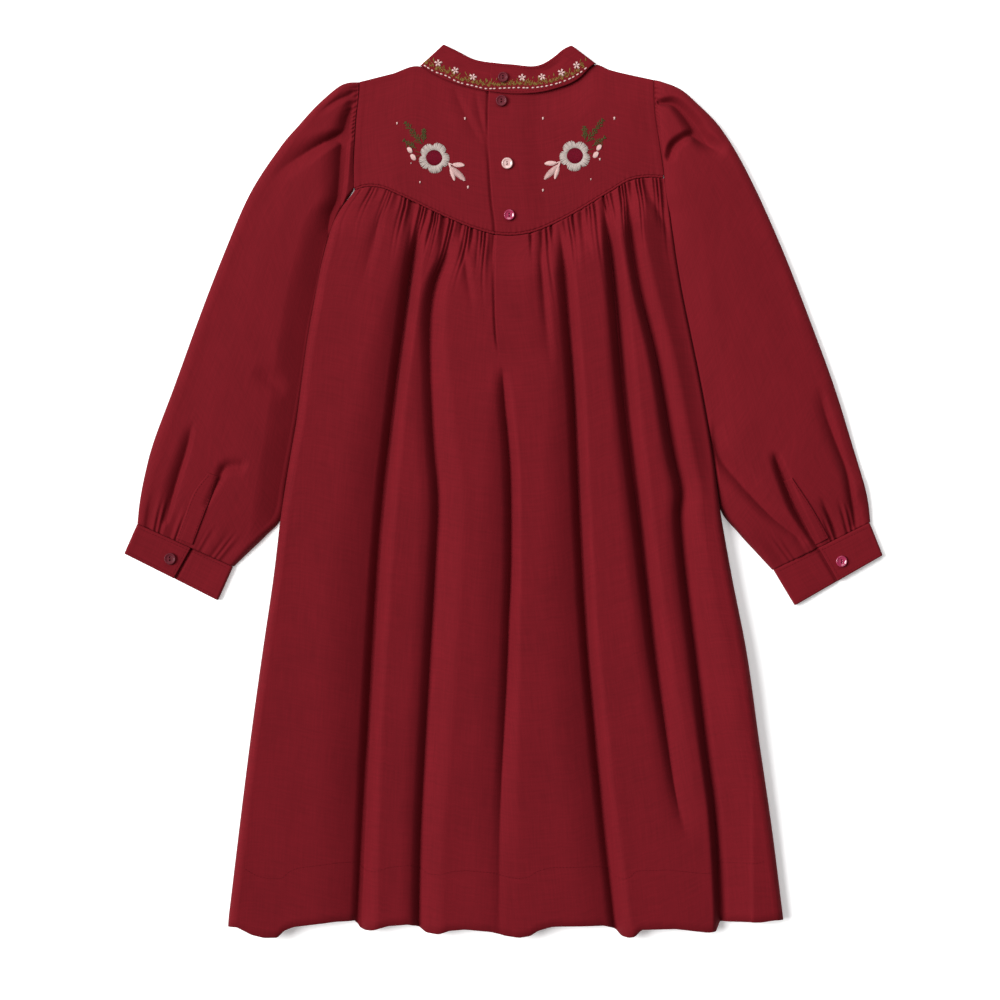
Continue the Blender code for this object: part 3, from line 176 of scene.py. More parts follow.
# %% Fold tables
Station = namedtuple("Station", "x y depth left right")
FOLD_ONE = (
    Station(-73, 250, 0.0, 9, 4),
    Station(-77, 231, 5.3, 10, 5),
    Station(-83, 198, 10.6, 16, 7),
    Station(-90, 146, 11.9, 26, 8),
    Station(-98, 84, 12.5, 36, 8),
    Station(-110, -26, 12.9, 44, 9),
    Station(-117, -132, 12.9, 46, 9),
    Station(-122, -220, 11.9, 44, 9),
    Station(-126, -308, 10.6, 42, 10),
    Station(-130, -392, 9.2, 40, 12),
)
FOLD_TWO = (
    Station(-46, 236, 0.0, 6, 5),
    Station(-53, 207, 5.3, 8, 8),
    Station(-63, 180, 7.9, 10, 9),
    Station(-67, 150, 7.9, 13, 10),
    Station(-67, 106, 7.3, 16, 12),
    Station(-64, 44, 7.4, 18, 14),
    Station(-60, -8, 7.7, 18, 16),
    Station(-62, -61, 7.7, 18, 16),
    Station(-68, -167, 7.4, 18, 16),
    Station(-75, -299, 7.1, 18, 14),
    Station(-77, -392, 6.6, 16, 14),
)
FOLD_CENTRE = (
    Station(-3.6, 108, 0.0, 7, 4),
    Station(-1.6, 81, 5.3, 14, 5),
    Station(3.6, 18, 8.4, 26, 6),
    Station(4.4, -61, 8.7, 30, 6),
    Station(2.4, -114, 8.2, 30, 7),
    Station(0.6, -167, 6.9, 28, 8),
    Station(-4, -255, 4.5, 26, 10),
    Station(-5.7, -308, 2.4, 24, 12),
    Station(-6.5, -392, 0.8, 22, 14),
)
FOLD_FOUR = (
    Station(46, 238, 0.0, 5, 5),
    Station(49, 216, 5.4, 8, 6),
    Station(53, 168, 8.4, 14, 7),
    Station(60, 80, 11.2, 26, 7),
    Station(65, -26, 12.2, 36, 7),
    Station(71, -132, 12.2, 39, 7),
    Station(77, -202, 11.6, 39, 8),
    Station(84, -272, 10.6, 38, 8),
    Station(90, -325, 9.4, 36, 9),
    Station(97, -392, 8.0, 34, 10),
)
FOLD_FIVE = (
    Station(83, 262, 0.0, 5, 4),
    Station(86, 250, 6.6, 7, 5),
    Station(91, 212, 10.6, 9, 7),
    Station(96, 168, 11.9, 12, 8),
    Station(105, 71, 12.4, 15, 9),
    Station(118, -35, 12.1, 17, 9),
    Station(129, -132, 10.3, 18, 10),
    Station(139, -202, 7.4, 18, 11),
    Station(150, -272, 3.7, 18, 12),
    Station(160, -305, 0.0, 16, 12),
)
FOLD_SIX = (
    Station(105, 272, 0.0, 4, 4),
    Station(107, 258, 5.8, 5, 6),
    Station(109, 225, 8.7, 7, 8),
    Station(117, 176, 9.2, 8, 10),
    Station(132, 115, 10.3, 10, 11),
    Station(146, 36, 11.4, 13, 12),
    Station(154, 0, 10.8, 15, 12),
    Station(153, -26, 10.0, 15, 13),
    Station(158, -79, 9.8, 16, 15),
    Station(169, -167, 9.0, 14, 20),
    Station(176, -228, 8.4, 10, 24),
    Station(183, -281, 8.4, 9, 26),
    Station(188, -352, 8.7, 9, 26),
    Station(189, -392, 8.7, 9, 26),
)
LONG_FOLDS = (FOLD_ONE, FOLD_TWO, FOLD_CENTRE, FOLD_FOUR, FOLD_FIVE, FOLD_SIX)

Short = namedtuple("Short", "x_top y_top x_end y_end depth width")
SHORT_FOLDS = (
    Short(-114, 262, -124, 246, 2.2, 4.0),
    Short(-105, 259, -127, 176, 2.6, 7.0),
    Short(-50, 238, -57, 206, 2.6, 4.0),
    Short(-39, 228, -28, 154, 3.0, 4.5),
    Short(-27, 226, -23, 190, 2.4, 3.5),
    Short(29, 224, 41, 97, 3.0, 5.0),
    Short(37, 229, 35, 201, 2.4, 3.5),
    Short(58, 236, 64, 189, 2.6, 4.0),
    Short(67, 243, 76, 200, 2.6, 4.0),
    Short(111, 268, 120, 238, 2.8, 3.5),
    Short(122, 272, 145, 224, 5.0, 5.0),
)
HEM = (
    Seam(-244, -379.8),
    Seam(-233, -384.4),
    Seam(-222, -390.2),
    Seam(-211, -392.8),
    Seam(-199, -392.5),
    Seam(-194, -386.6),
    Seam(-185, -383.1),
    Seam(-148, -378.8),
    Seam(-130, -378.5),
    Seam(-128.5, -384.4),
    Seam(-123, -386.6),
    Seam(-116, -386.7),
    Seam(-102, -382.4),
    Seam(-85, -381.1),
    Seam(-76, -383.2),
    Seam(-69, -388.5),
    Seam(-58, -389.8),
    Seam(-48, -386.5),
    Seam(-35, -385.4),
    Seam(-11, -387.6),
    Seam(1, -391.0),
    Seam(13, -392.7),
    Seam(23, -391.0),
    Seam(29, -386.6),
    Seam(42, -382.9),
    Seam(88, -382.4),
    Seam(97, -385.2),
    Seam(103, -391.6),
    Seam(110, -393.0),
    Seam(115.6, -391.6),
    Seam(120, -385.8),
    Seam(150, -384.9),
    Seam(178, -388.2),
    Seam(187, -387.2),
    Seam(189, -379.4),
    Seam(225, -379.2),
    Seam(245, -376.2),
)
HEM_SOFTNESS = 1.4
SPANS = (13, 7, 9, 9, 7, 5, 8)
CROWDING = 0.5
GATHER_DEPTH = 4.9
GATHER_LENGTH = 32.0
PLAIN_FROM = -8.0
PLAIN_TO = 20.0
print("long folds:", len(LONG_FOLDS), "short folds:", len(SHORT_FOLDS), "gathers:", sum(SPANS))

# %% [markdown]
# ## Sleeves, cuffs, plackets and collar
# A sleeve is a tube that lies flat: one row per section, from its outer edge to its inner edge, with
# how high it stands and how round its two edges are. The cuffs and the collar are flat strips that
# go round and lap over their own start.

# %% Tables of the sleeves and bands
Section = namedtuple("Section", "outer_x outer_y inner_x inner_y height outer_roll inner_roll")
SLEEVE_LEFT = (
    Section(-128.2, 360.2, -133.2, 265.0, 4.6, 3.0, 3.0),
    Section(-138.5, 359.2, -140.6, 253.0, 9.5, 5.0, 5.0),
    Section(-148.3, 354.2, -148.8, 238.0, 12.0, 7.0, 6.0),
    Section(-165.0, 339.4, -154.6, 220.0, 13.0, 8.0, 7.0),
    Section(-181.8, 321.0, -159.2, 203.0, 13.0, 9.0, 7.0),
    Section(-198.6, 301.0, -164.2, 176.0, 12.6, 10.0, 7.0),
    Section(-225.0, 260.0, -171.2, 138.0, 12.0, 10.0, 7.0),
    Section(-250.2, 201.1, -178.6, 84.0, 12.0, 10.0, 7.0),
    Section(-269.8, 150.0, -185.6, 40.0, 12.4, 10.0, 7.0),
    Section(-290.4, 93.0, -191.8, 3.0, 13.0, 10.0, 7.0),
    Section(-308.6, 44.4, -196.4, -24.0, 13.0, 10.0, 7.0),
    Section(-316.4, 16.0, -211.0, -40.4, 12.0, 9.0, 7.0),
    Section(-321.4, -9.0, -225.4, -54.2, 9.6, 7.0, 6.0),
    Section(-323.7, -29.0, -238.7, -67.0, 6.6, 4.0, 4.0),
)
SLEEVE_RIGHT = (
    Section(132.1, 362.2, 141.9, 276.0, 4.6, 3.0, 3.0),
    Section(139.0, 360.2, 144.2, 258.0, 9.5, 5.0, 3.4),
    Section(154.0, 354.0, 148.0, 232.0, 12.0, 7.0, 3.4),
    Section(168.4, 342.2, 151.9, 205.0, 13.0, 8.0, 3.2),
    Section(191.8, 317.4, 156.8, 176.0, 13.0, 9.0, 3.0),
    Section(216.0, 276.0, 163.0, 144.0, 12.6, 10.0, 3.0),
    Section(245.0, 212.0, 171.9, 100.0, 12.0, 10.0, 3.0),
    Section(272.4, 141.4, 179.6, 57.0, 12.0, 10.0, 3.2),
    Section(290.4, 92.0, 186.3, 14.0, 12.4, 10.0, 4.0),
    Section(305.4, 44.4, 190.6, -17.0, 13.0, 10.0, 5.0),
    Section(315.0, 13.1, 206.4, -37.4, 12.0, 10.0, 7.0),
    Section(320.2, -8.0, 222.0, -54.6, 9.6, 8.0, 6.0),
    Section(322.6, -27.6, 236.3, -70.0, 6.6, 4.0, 4.0),
)
LOWEST_SLEEVE = 2.9
ARMHOLE_FADE = 6.0
SLEEVE_SINK = {"left": 0.74, "right": 0.22}
SLEEVE_SINK_WIDTH = 26.0
SLEEVE_FOLD_SCALE = 1.7
SLEEVE_FOLDS_LEFT = (
    (
        Station(-134, 340, 2.0, 8, 5),
        Station(-139, 322, 5.6, 14, 6),
        Station(-142, 302, 6.4, 18, 7),
        Station(-144, 276, 6.0, 20, 7),
        Station(-147, 252, 4.6, 18, 6),
        Station(-152, 232, 2.0, 16, 5),
    ),
    (
        Station(-138, 312, 3.0, 6, 6),
        Station(-150, 311, 5.4, 8, 9),
        Station(-168, 302, 4.4, 12, 12),
        Station(-192, 286, 1.6, 16, 14),
        Station(-204, 276, 0.0, 14, 12),
    ),
    (
        Station(-134, 350, 1.6, 4, 4),
        Station(-150, 342, 1.8, 6, 6),
        Station(-166, 330, 0.0, 6, 6),
    ),
    (
        Station(-275, 60, 0.0, 6, 4),
        Station(-279, 40, 3.0, 10, 5),
        Station(-290, 4, 4.0, 12, 5),
        Station(-298, -26, 2.4, 8, 4),
    ),
    (
        Station(-222, 104, 0.0, 14, 12),
        Station(-206, 96, 2.2, 18, 16),
        Station(-194, 84, 0.0, 14, 12),
    ),
    (
        Station(-232, 22, 2.4, 10, 8),
        Station(-246, 20, 3.2, 8, 8),
        Station(-252, 8, 2.0, 6, 5),
        Station(-262, -12, 1.0, 5, 4),
    ),
)
SLEEVE_FOLDS_RIGHT = (
    (
        Station(136, 341, 3.0, 5, 5),
        Station(150, 339, 5.6, 8, 8),
        Station(165, 322, 6.6, 12, 11),
        Station(175, 307, 6.0, 13, 12),
        Station(194, 296, 0.0, 12, 11),
    ),
    (
        Station(146, 294, 3.4, 7, 7),
        Station(150, 304, 4.6, 7, 7),
        Station(163, 312, 3.6, 7, 7),
        Station(172, 310, 2.0, 7, 7),
    ),
    (
        Station(276, 92, 0.0, 10, 8),
        Station(283, 66, 2.6, 14, 8),
        Station(292, 42, 3.8, 14, 7),
        Station(302, 14, 3.8, 10, 5),
        Station(309, -30, 2.2, 7, 4),
    ),
    (
        Station(278, -6, 0.0, 5, 4),
        Station(285, -22, 2.4, 6, 4),
        Station(292, -40, 2.0, 5, 4),
    ),
    (
        Station(236, 34, 0.0, 8, 6),
        Station(242, 18, 5.6, 8, 7),
        Station(254, -12, 7.0, 8, 7),
        Station(266, -34, 5.0, 7, 6),
        Station(276, -50, 2.4, 6, 4),
    ),
    (
        Station(184, 62, 0.0, 10, 10),
        Station(187, 34, 3.6, 12, 14),
        Station(206, 8, 4.0, 12, 16),
        Station(234, -22, 3.4, 10, 14),
        Station(262, -44, 1.0, 8, 8),
    ),
)
YOKE_CREASES = (
    (
        Station(-44, 352, 0.6, 6, 5),
        Station(-38, 338, 1.7, 11, 6),
        Station(-28, 318, 1.8, 12, 7),
        Station(-17, 300, 0.0, 8, 6),
    ),
    (
        Station(-26, 350, 0.4, 5, 4),
        Station(-22, 330, 1.5, 8, 5),
        Station(-16, 304, 1.1, 8, 4),
        Station(-15, 288, 0.0, 5, 4),
    ),
)

Cuff = namedtuple("Cuff", "outer_top inner_top inner_low outer_low lap_top lap_low")
CUFF_LEFT = Cuff(
    outer_top=(-323.6, -29.4),
    inner_top=(-239.4, -67.2),
    inner_low=(-252.6, -96.7),
    outer_low=(-335.0, -55.4),
    lap_top=0.56,
    lap_low=0.53,
)
CUFF_RIGHT = Cuff(
    outer_top=(321.8, -28.3),
    inner_top=(237.2, -70.0),
    inner_low=(256.0, -101.1),
    outer_low=(333.1, -56.9),
    lap_top=0.53,
    lap_low=0.51,
)
CUFF_HEIGHT = 6.2
CUFF_UNDER_HEIGHT = 2.7
CUFF_LAP_DIP = 1.9
CUFF_LAP_DIP_WIDTH = 0.06
CUFF_UNDERLAP = 0.22

Strip = namedtuple("Strip", "x y width")
PLACKET_LEFT = (
    Strip(-251.5, 12.0, 9.0),
    Strip(-258.3, -6.0, 15.0),
    Strip(-266.8, -28.0, 15.5),
    Strip(-274.6, -47.6, 15.5),
)
PLACKET_RIGHT = (
    Strip(246.0, 8.0, 7.0),
    Strip(256.0, -14.0, 11.0),
    Strip(266.6, -33.0, 12.0),
    Strip(274.6, -47.6, 12.0),
)
PLACKET_CLOTH = 1.0

COLLAR_TOP = (
    Seam(-53.2, 392.9),
    Seam(-41, 387.0),
    Seam(-29, 380.8),
    Seam(-11, 377.0),
    Seam(5, 375.4),
    Seam(35, 376.4),
    Seam(45, 383.0),
    Seam(51.5, 388.4),
    Seam(58.5, 392.0),
)
FRONT_NECK = (
    Seam(-73, 373.0),
    Seam(-66, 354.0),
    Seam(-52, 334.0),
    Seam(-30, 320.0),
    Seam(3, 314.0),
    Seam(36, 320.0),
    Seam(58, 334.0),
    Seam(72, 354.0),
    Seam(79, 374.0),
)
FRONT_COLLAR_TOP = (
    Seam(-53, 388.0),
    Seam(-46, 362.0),
    Seam(-36, 347.0),
    Seam(-20, 340.0),
    Seam(3, 337.0),
    Seam(26, 340.0),
    Seam(42, 347.0),
    Seam(52, 362.0),
    Seam(58, 388.0),
)
FRONT_NECK_MIDDLE = (3.0, 374.0)
COLLAR_LEFT = (-72.6, 373.9, -53.2, 392.9)
COLLAR_RIGHT = (78.8, 375.6, 58.5, 392.0)
COLLAR_HEIGHT = 6.2
COLLAR_UNDER_HEIGHT = 4.6
COLLAR_ROLL = 2.0
print("sleeve sections:", len(SLEEVE_LEFT), len(SLEEVE_RIGHT))

# %% [markdown]
# ## Curves through the tables
# `along` draws a smooth curve through one column of a table, so a few rows give a clean line.
# `fold_depth` finds the nearest place on a fold's line and says how far the cloth is pressed there.


# %% Curves and folds
def smooth(value):
    value = np.clip(value, 0.0, 1.0)
    return value * value * (3.0 - 2.0 * value)


def mix(first, second, share):
    return first + (second - first) * share


def along(rows, given, wanted, at):
    rows = sorted(rows, key=lambda row: getattr(row, given))
    places = np.array([getattr(row, given) for row in rows], float)
    values = np.array([getattr(row, wanted) for row in rows], float)
    at = np.clip(np.asarray(at, float), places[0], places[-1])
    slopes = np.gradient(values, places)
    index = np.clip(np.searchsorted(places, at) - 1, 0, len(places) - 2)
    step = places[index + 1] - places[index]
    share = (at - places[index]) / step
    rest = 1.0 - share
    start = (1 + 2 * share) * rest ** 2 * values[index]
    start_slope = share * rest ** 2 * step * slopes[index]
    end = share ** 2 * (3 - 2 * share) * values[index + 1]
    end_slope = share ** 2 * (share - 1) * step * slopes[index + 1]
    return start + start_slope + end + end_slope


def along_rows(rows, wanted, share):
    values = [getattr(row, wanted) for row in rows]
    Row = namedtuple("Row", "at value")
    numbered = [Row(number / (len(values) - 1), value) for number, value in enumerate(values)]
    return along(numbered, "at", "value", share)


CREASE_WIDTH = 9.0
Look = namedtuple("Look", "crease wider")
PLAIN = Look(0.0, 1.0)
LONG = Look(0.4, 1.6)
SLEEVE = Look(0.15, 1.0)


def fold_depth(fold, x, y, look=PLAIN, steps=6):
    shares = np.linspace(0.0, 1.0, (len(fold) - 1) * steps + 1)
    path = {name: along_rows(fold, name, shares) for name in Station._fields}
    reach = max(path["left"].max(), path["right"].max())
    near = (x > path["x"].min() - reach) & (x < path["x"].max() + reach)
    near &= (y > path["y"].min() - reach) & (y < path["y"].max() + reach)
    pressed = np.zeros(x.shape)
    pressed[near] = depth_near(path, x[near], y[near], look)
    return pressed


def depth_near(path, x, y, look):
    best = np.full(x.shape, np.inf)
    pressed = np.zeros(x.shape)
    for number in range(len(path["x"]) - 1):
        from_x, from_y = path["x"][number], path["y"][number]
        run_x = path["x"][number + 1] - from_x
        run_y = path["y"][number + 1] - from_y
        length = math.hypot(run_x, run_y)
        share = ((x - from_x) * run_x + (y - from_y) * run_y) / length ** 2
        share = np.clip(share, 0.0, 1.0)
        off_x = x - from_x - share * run_x
        off_y = y - from_y - share * run_y
        distance = np.hypot(off_x, off_y)
        side = run_x * off_y - run_y * off_x
        depth = mix(path["depth"][number], path["depth"][number + 1], share)
        left = mix(path["left"][number], path["left"][number + 1], share)
        right = mix(path["right"][number], path["right"][number + 1], share) * look.wider
        soft = (1.0 - np.clip(distance / left, 0.0, 1.0)) ** 2
        sharp = 1.0 - smooth(distance / right)
        crease = (1.0 - np.clip(distance / CREASE_WIDTH, 0.0, 1.0)) ** 2
        shape = depth * mix(np.where(side < 0.0, soft, sharp), crease, look.crease)
        nearer = distance < best
        best = np.where(nearer, distance, best)
        pressed = np.where(nearer, shape, pressed)
    return pressed


def short_fold(row):
    middle_x = mix(row.x_top, row.x_end, 0.35)
    middle_y = mix(row.y_top, row.y_end, 0.35)
    return (
        Station(row.x_top, row.y_top, row.depth * 0.5, row.width, row.width),
        Station(middle_x, middle_y, row.depth, row.width * 1.3, row.width * 1.2),
        Station(row.x_end, row.y_end, 0.0, row.width * 1.8, row.width * 1.5),
    )


def folds_depth(folds, x, y, look=PLAIN):
    return sum(fold_depth(fold, x, y, look) for fold in folds)


def crumple(x, y, size, seed):
    """Low, soft unevenness of cloth that has been folded and laid out again, from -1 to 1."""
    total = np.zeros(np.shape(x))
    for number in range(1, 6):
        turn = seed * 1.7 + number * 2.399
        pace = 2.0 * math.pi / (size * (0.6 + 0.23 * number))
        along_x, along_y = math.cos(turn) * pace, math.sin(turn) * pace
        total += np.sin(x * along_x + y * along_y + seed * number + np.sin(y * pace * 0.31 + number))
    return total / 5.0


deepest = fold_depth(FOLD_ONE, np.array([-110.0]), np.array([-26.0]))[0]
print("a fold's depth at its deepest:", round(float(deepest), 1))

# %% [markdown]
# ## Cloth as a thin wall
# A piece of cloth here is one closed wall: an outer skin, an inner skin under it, and a rim round
# every open edge. The rim bulges a little, because a folded and pressed edge is round, and the bulge
# closes the hair's breadth between two pieces at a seam. Each skin also carries its own flat
# coordinates in metres, so that the weave keeps its real scale.


# %% The wall maker
class Wall:
    def __init__(self):
        self.outer = []
        self.inner = []
        self.quads = []
        self.flat = []
        self.count = 0

    def points(self, outer, inner):
        """Takes a grid of outer and inner points and returns their numbers as a grid."""
        rows, columns = outer.shape[:2]
        numbers = np.arange(rows * columns).reshape(rows, columns) + self.count
        self.outer.append(outer.reshape(-1, 3))
        self.inner.append(inner.reshape(-1, 3))
        self.count += rows * columns
        return numbers

    def skin(self, numbers, flat):
        """Covers a grid of numbered points; flat is the same grid's place in the flat cloth."""
        corners = [numbers[:-1, :-1], numbers[1:, :-1], numbers[1:, 1:], numbers[:-1, 1:]]
        self.quads.append(np.stack(corners, axis=-1).reshape(-1, 4))
        places = [flat[:-1, :-1], flat[1:, :-1], flat[1:, 1:], flat[:-1, 1:]]
        self.flat.append(np.stack(places, axis=-2).reshape(-1, 4, 2))

    def build(self, name, material):
        outer, inner = np.vstack(self.outer), np.vstack(self.inner)
        quads, flat = np.vstack(self.quads), np.vstack(self.flat)
        first = quads.ravel()
        second = np.roll(quads, -1, axis=1).ravel()
        codes = first.astype(np.int64) * self.count + second
        back = second.astype(np.int64) * self.count + first
        is_open = ~np.isin(codes, back)
        first, second = first[is_open], second[is_open]
        flat_first = flat.reshape(-1, 2)[is_open]
        flat_second = np.roll(flat, -1, axis=1).reshape(-1, 2)[is_open]
        rim, rim_numbers = self.rim(outer, inner, first, second)
        points = np.vstack([outer, inner, rim])
        a_mid, b_mid = rim_numbers[first], rim_numbers[second]
        rim_quads = np.vstack([
            np.stack([second, first, a_mid, b_mid], axis=1),
            np.stack([b_mid, a_mid, first + self.count, second + self.count], axis=1),
        ])
        rim_flat = np.stack([flat_second, flat_first, flat_first, flat_second], axis=1)
        inside = quads[:, ::-1] + self.count
        every = np.vstack([quads, inside, rim_quads])
        every_flat = np.concatenate([flat, flat[:, ::-1], rim_flat, rim_flat])
        return mesh_object(name, points, every, every_flat, material)

    def rim(self, outer, inner, first, second):
        """Points half way down the rim, pushed outwards a little."""
        up = outer - inner
        up /= np.linalg.norm(up, axis=1)[:, None] + 1e-9
        aside = np.cross(outer[second] - outer[first], up[first])
        aside /= np.linalg.norm(aside, axis=1)[:, None] + 1e-9
        push = np.zeros(outer.shape)
        np.add.at(push, first, aside)
        np.add.at(push, second, aside)
        used = np.unique(np.concatenate([first, second]))
        push = push[used]
        push /= np.linalg.norm(push, axis=1)[:, None] + 1e-9
        numbers = np.full(self.count, -1)
        numbers[used] = np.arange(len(used)) + 2 * self.count
        return (outer[used] + inner[used]) / 2.0 + push * ROUND_EDGE, numbers


def mesh_object(name, points, quads, flat, material):
    """A smooth mesh from points in millimetres and four-cornered faces."""
    mesh = bpy.data.meshes.new(name)
    mesh.vertices.add(len(points))
    mesh.vertices.foreach_set("co", ((points - np.array(MIDDLE)) * MM).ravel())
    mesh.loops.add(quads.size)
    mesh.loops.foreach_set("vertex_index", quads.ravel().astype(np.int32))
    mesh.polygons.add(len(quads))
    mesh.polygons.foreach_set("loop_start", np.arange(0, quads.size, 4, dtype=np.int32))
    mesh.polygons.foreach_set("use_smooth", np.ones(len(quads), dtype=bool))
    mesh.update(calc_edges=True)
    layer = mesh.uv_layers.new(name="flat")
    layer.data.foreach_set("uv", (flat * MM).ravel())
    if material:
        mesh.materials.append(material)
    made = bpy.data.objects.new(name, mesh)
    bpy.context.scene.collection.objects.link(made)
    return made


def under_skin(points, cloth=CLOTH):
    """The inner skin under a grid of outer points, kept as thick as the cloth on a slope."""
    normal = np.cross(np.gradient(points, axis=0), np.gradient(points, axis=1))
    length = np.linalg.norm(normal, axis=2)
    lean = length / np.maximum(np.abs(normal[..., 2]), length / STEEPEST)
    inner = points.copy()
    inner[..., 2] -= cloth * lean
    return inner


def skin_within(points, cloth=CLOTH):
    """The inner skin of cloth that may lean over: straight in from the outer skin."""
    normal = np.cross(np.gradient(points, axis=0), np.gradient(points, axis=1))
    normal /= np.linalg.norm(normal, axis=2)[..., None] + 1e-9
    return points - normal * np.sign(normal[..., 2].mean()) * cloth


def flat_grid(points):
    """Where each point of a grid lies in the flat cloth, measured along its rows and columns."""
    across = np.linalg.norm(np.diff(points, axis=1), axis=2)
    down = np.linalg.norm(np.diff(points, axis=0), axis=2)
    u = np.concatenate([np.zeros((len(points), 1)), np.cumsum(across, axis=1)], axis=1)
    v = np.concatenate([np.zeros((1, points.shape[1])), np.cumsum(down, axis=0)], axis=0)
    u = u - u[:, [points.shape[1] // 2]]
    return np.stack([u, -v], axis=-1)


def finish_piece(piece, node):
    """Hides the solid that the piece stands for, and hangs the piece on what it moves with."""
    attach(piece, "root")
    if node:
        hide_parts(node)
    return piece


print("wall maker ready")

# %% [markdown]
# ## Cloth colour and weave
# The dress is a deep red brushed cotton twill. Its colour is one dye, but slubs in the yarn make
# faint streaks along the length of the cloth, and the nap makes soft lighter patches.
# The weave itself is a fine diagonal rib about half a millimetre wide. The group is built once and
# used by every cloth piece, with its own numbers for strength.


# %% Cloth node group
def new_group(name, inputs, outputs):
    group = bpy.data.node_groups.new(name, "ShaderNodeTree")
    for label, kind, value in inputs:
        made = group.interface.new_socket(label, in_out="INPUT", socket_type=kind)
        made.default_value = value
    for label, kind in outputs:
        group.interface.new_socket(label, in_out="OUTPUT", socket_type=kind)
    return group, group.nodes.new("NodeGroupInput"), group.nodes.new("NodeGroupOutput")


def add_node(tree, kind, **settings):
    node = tree.nodes.new(kind)
    for name, value in settings.items():
        setattr(node, name, value)
    return node


def calculate(tree, operation, first, second):
    node = add_node(tree, "ShaderNodeMath", operation=operation)
    for socket, value in zip(node.inputs, (first, second)):
        if isinstance(value, (int, float)):
            socket.default_value = value
        else:
            tree.links.new(value, socket)
    return node.outputs[0]


def noise(tree, where, scale, detail, stretch):
    """Noise over the flat cloth, stretched along it."""
    placed = add_node(tree, "ShaderNodeMapping")
    placed.inputs["Scale"].default_value = stretch
    tree.links.new(where, placed.inputs["Vector"])
    made = add_node(tree, "ShaderNodeTexNoise")
    made.inputs["Scale"].default_value = scale
    made.inputs["Detail"].default_value = detail
    tree.links.new(placed.outputs[0], made.inputs["Vector"])
    return made.outputs["Fac"]


def build_cloth_group():
    colour_kind, number_kind, place_kind = "NodeSocketColor", "NodeSocketFloat", "NodeSocketVector"
    group, given, result = new_group(
        "Brushed twill",
        (
            ("Cloth Colour", colour_kind, (0.2, 0.013, 0.02, 1.0)),
            ("Flat Place", place_kind, (0.0, 0.0, 0.0)),
            ("Slub", number_kind, 0.5),
            ("Nap", number_kind, 0.5),
            ("Rib", number_kind, 0.5),
        ),
        (("Colour", colour_kind), ("Roughness", number_kind), ("Height", number_kind)),
    )
    where = given.outputs["Flat Place"]
    slub_long = noise(group, where, 700.0, 2.0, (1.0, 0.05, 1.0))
    slub_cross = noise(group, where, 620.0, 2.0, (0.06, 1.0, 1.0))
    nap = noise(group, where, 26.0, 4.0, (1.0, 0.7, 1.0))
    fuzz = noise(group, where, 1500.0, 3.0, (1.0, 1.0, 1.0))
    rib = add_node(group, "ShaderNodeTexWave", wave_type="BANDS", bands_direction="DIAGONAL")
    rib.inputs["Scale"].default_value = 560.0
    rib.inputs["Distortion"].default_value = 0.6
    group.links.new(where, rib.inputs["Vector"])

    slubs = calculate(group, "ADD", slub_long, slub_cross)
    slubs = calculate(group, "SUBTRACT", slubs, 1.0)
    slubs = calculate(group, "MULTIPLY", slubs, given.outputs["Slub"])
    patches = calculate(group, "SUBTRACT", nap, 0.5)
    patches = calculate(group, "MULTIPLY", patches, given.outputs["Nap"])
    specks = calculate(group, "MULTIPLY", calculate(group, "SUBTRACT", fuzz, 0.5), 0.35)
    ribs = calculate(group, "MULTIPLY", rib.outputs["Fac"], given.outputs["Rib"])
    light = calculate(group, "ADD", calculate(group, "ADD", slubs, patches), specks)
    light = calculate(group, "ADD", light, calculate(group, "MULTIPLY", ribs, 0.12))
    light = calculate(group, "ADD", light, 1.0)

    shade = add_node(group, "ShaderNodeMix", data_type="RGBA", blend_type="MULTIPLY")
    shade.inputs["Factor"].default_value = 1.0
    grey = add_node(group, "ShaderNodeCombineColor")
    for name in ("Red", "Green", "Blue"):
        group.links.new(light, grey.inputs[name])
    group.links.new(given.outputs["Cloth Colour"], shade.inputs[6])
    group.links.new(grey.outputs[0], shade.inputs[7])
    group.links.new(shade.outputs[2], result.inputs["Colour"])
    rough = calculate(group, "ADD", calculate(group, "MULTIPLY", fuzz, 0.12), 0.78)
    group.links.new(rough, result.inputs["Roughness"])
    height = calculate(group, "ADD", calculate(group, "MULTIPLY", slubs, 0.8), ribs)
    height = calculate(group, "ADD", height, calculate(group, "MULTIPLY", fuzz, 0.3))
    group.links.new(height, result.inputs["Height"])
    return group


CLOTH_GROUP = build_cloth_group()


def cloth_material(name, colour, slub, nap, rib, sheen):
    material = bpy.data.materials.new(name)
    material.use_nodes = True
    tree = material.node_tree
    shader = tree.nodes["Principled BSDF"]
    where = add_node(tree, "ShaderNodeUVMap", uv_map="flat")
    weave = add_node(tree, "ShaderNodeGroup", node_tree=CLOTH_GROUP)
    weave.inputs["Cloth Colour"].default_value = (*colour, 1.0)
    weave.inputs["Slub"].default_value = slub
    weave.inputs["Nap"].default_value = nap
    weave.inputs["Rib"].default_value = rib
    tree.links.new(where.outputs[0], weave.inputs["Flat Place"])
    tree.links.new(weave.outputs["Colour"], shader.inputs["Base Color"])
    tree.links.new(weave.outputs["Roughness"], shader.inputs["Roughness"])
    bump = add_node(tree, "ShaderNodeBump")
    bump.inputs["Strength"].default_value = 0.35
    bump.inputs["Distance"].default_value = 0.00012
    tree.links.new(weave.outputs["Height"], bump.inputs["Height"])
    tree.links.new(bump.outputs[0], shader.inputs["Normal"])
    shader.inputs["Specular IOR Level"].default_value = 0.08
    shader.inputs["Sheen Weight"].default_value = sheen
    shader.inputs["Sheen Roughness"].default_value = 0.55
    shader.inputs["Sheen Tint"].default_value = (0.75, 0.25, 0.27, 1.0)
    return material


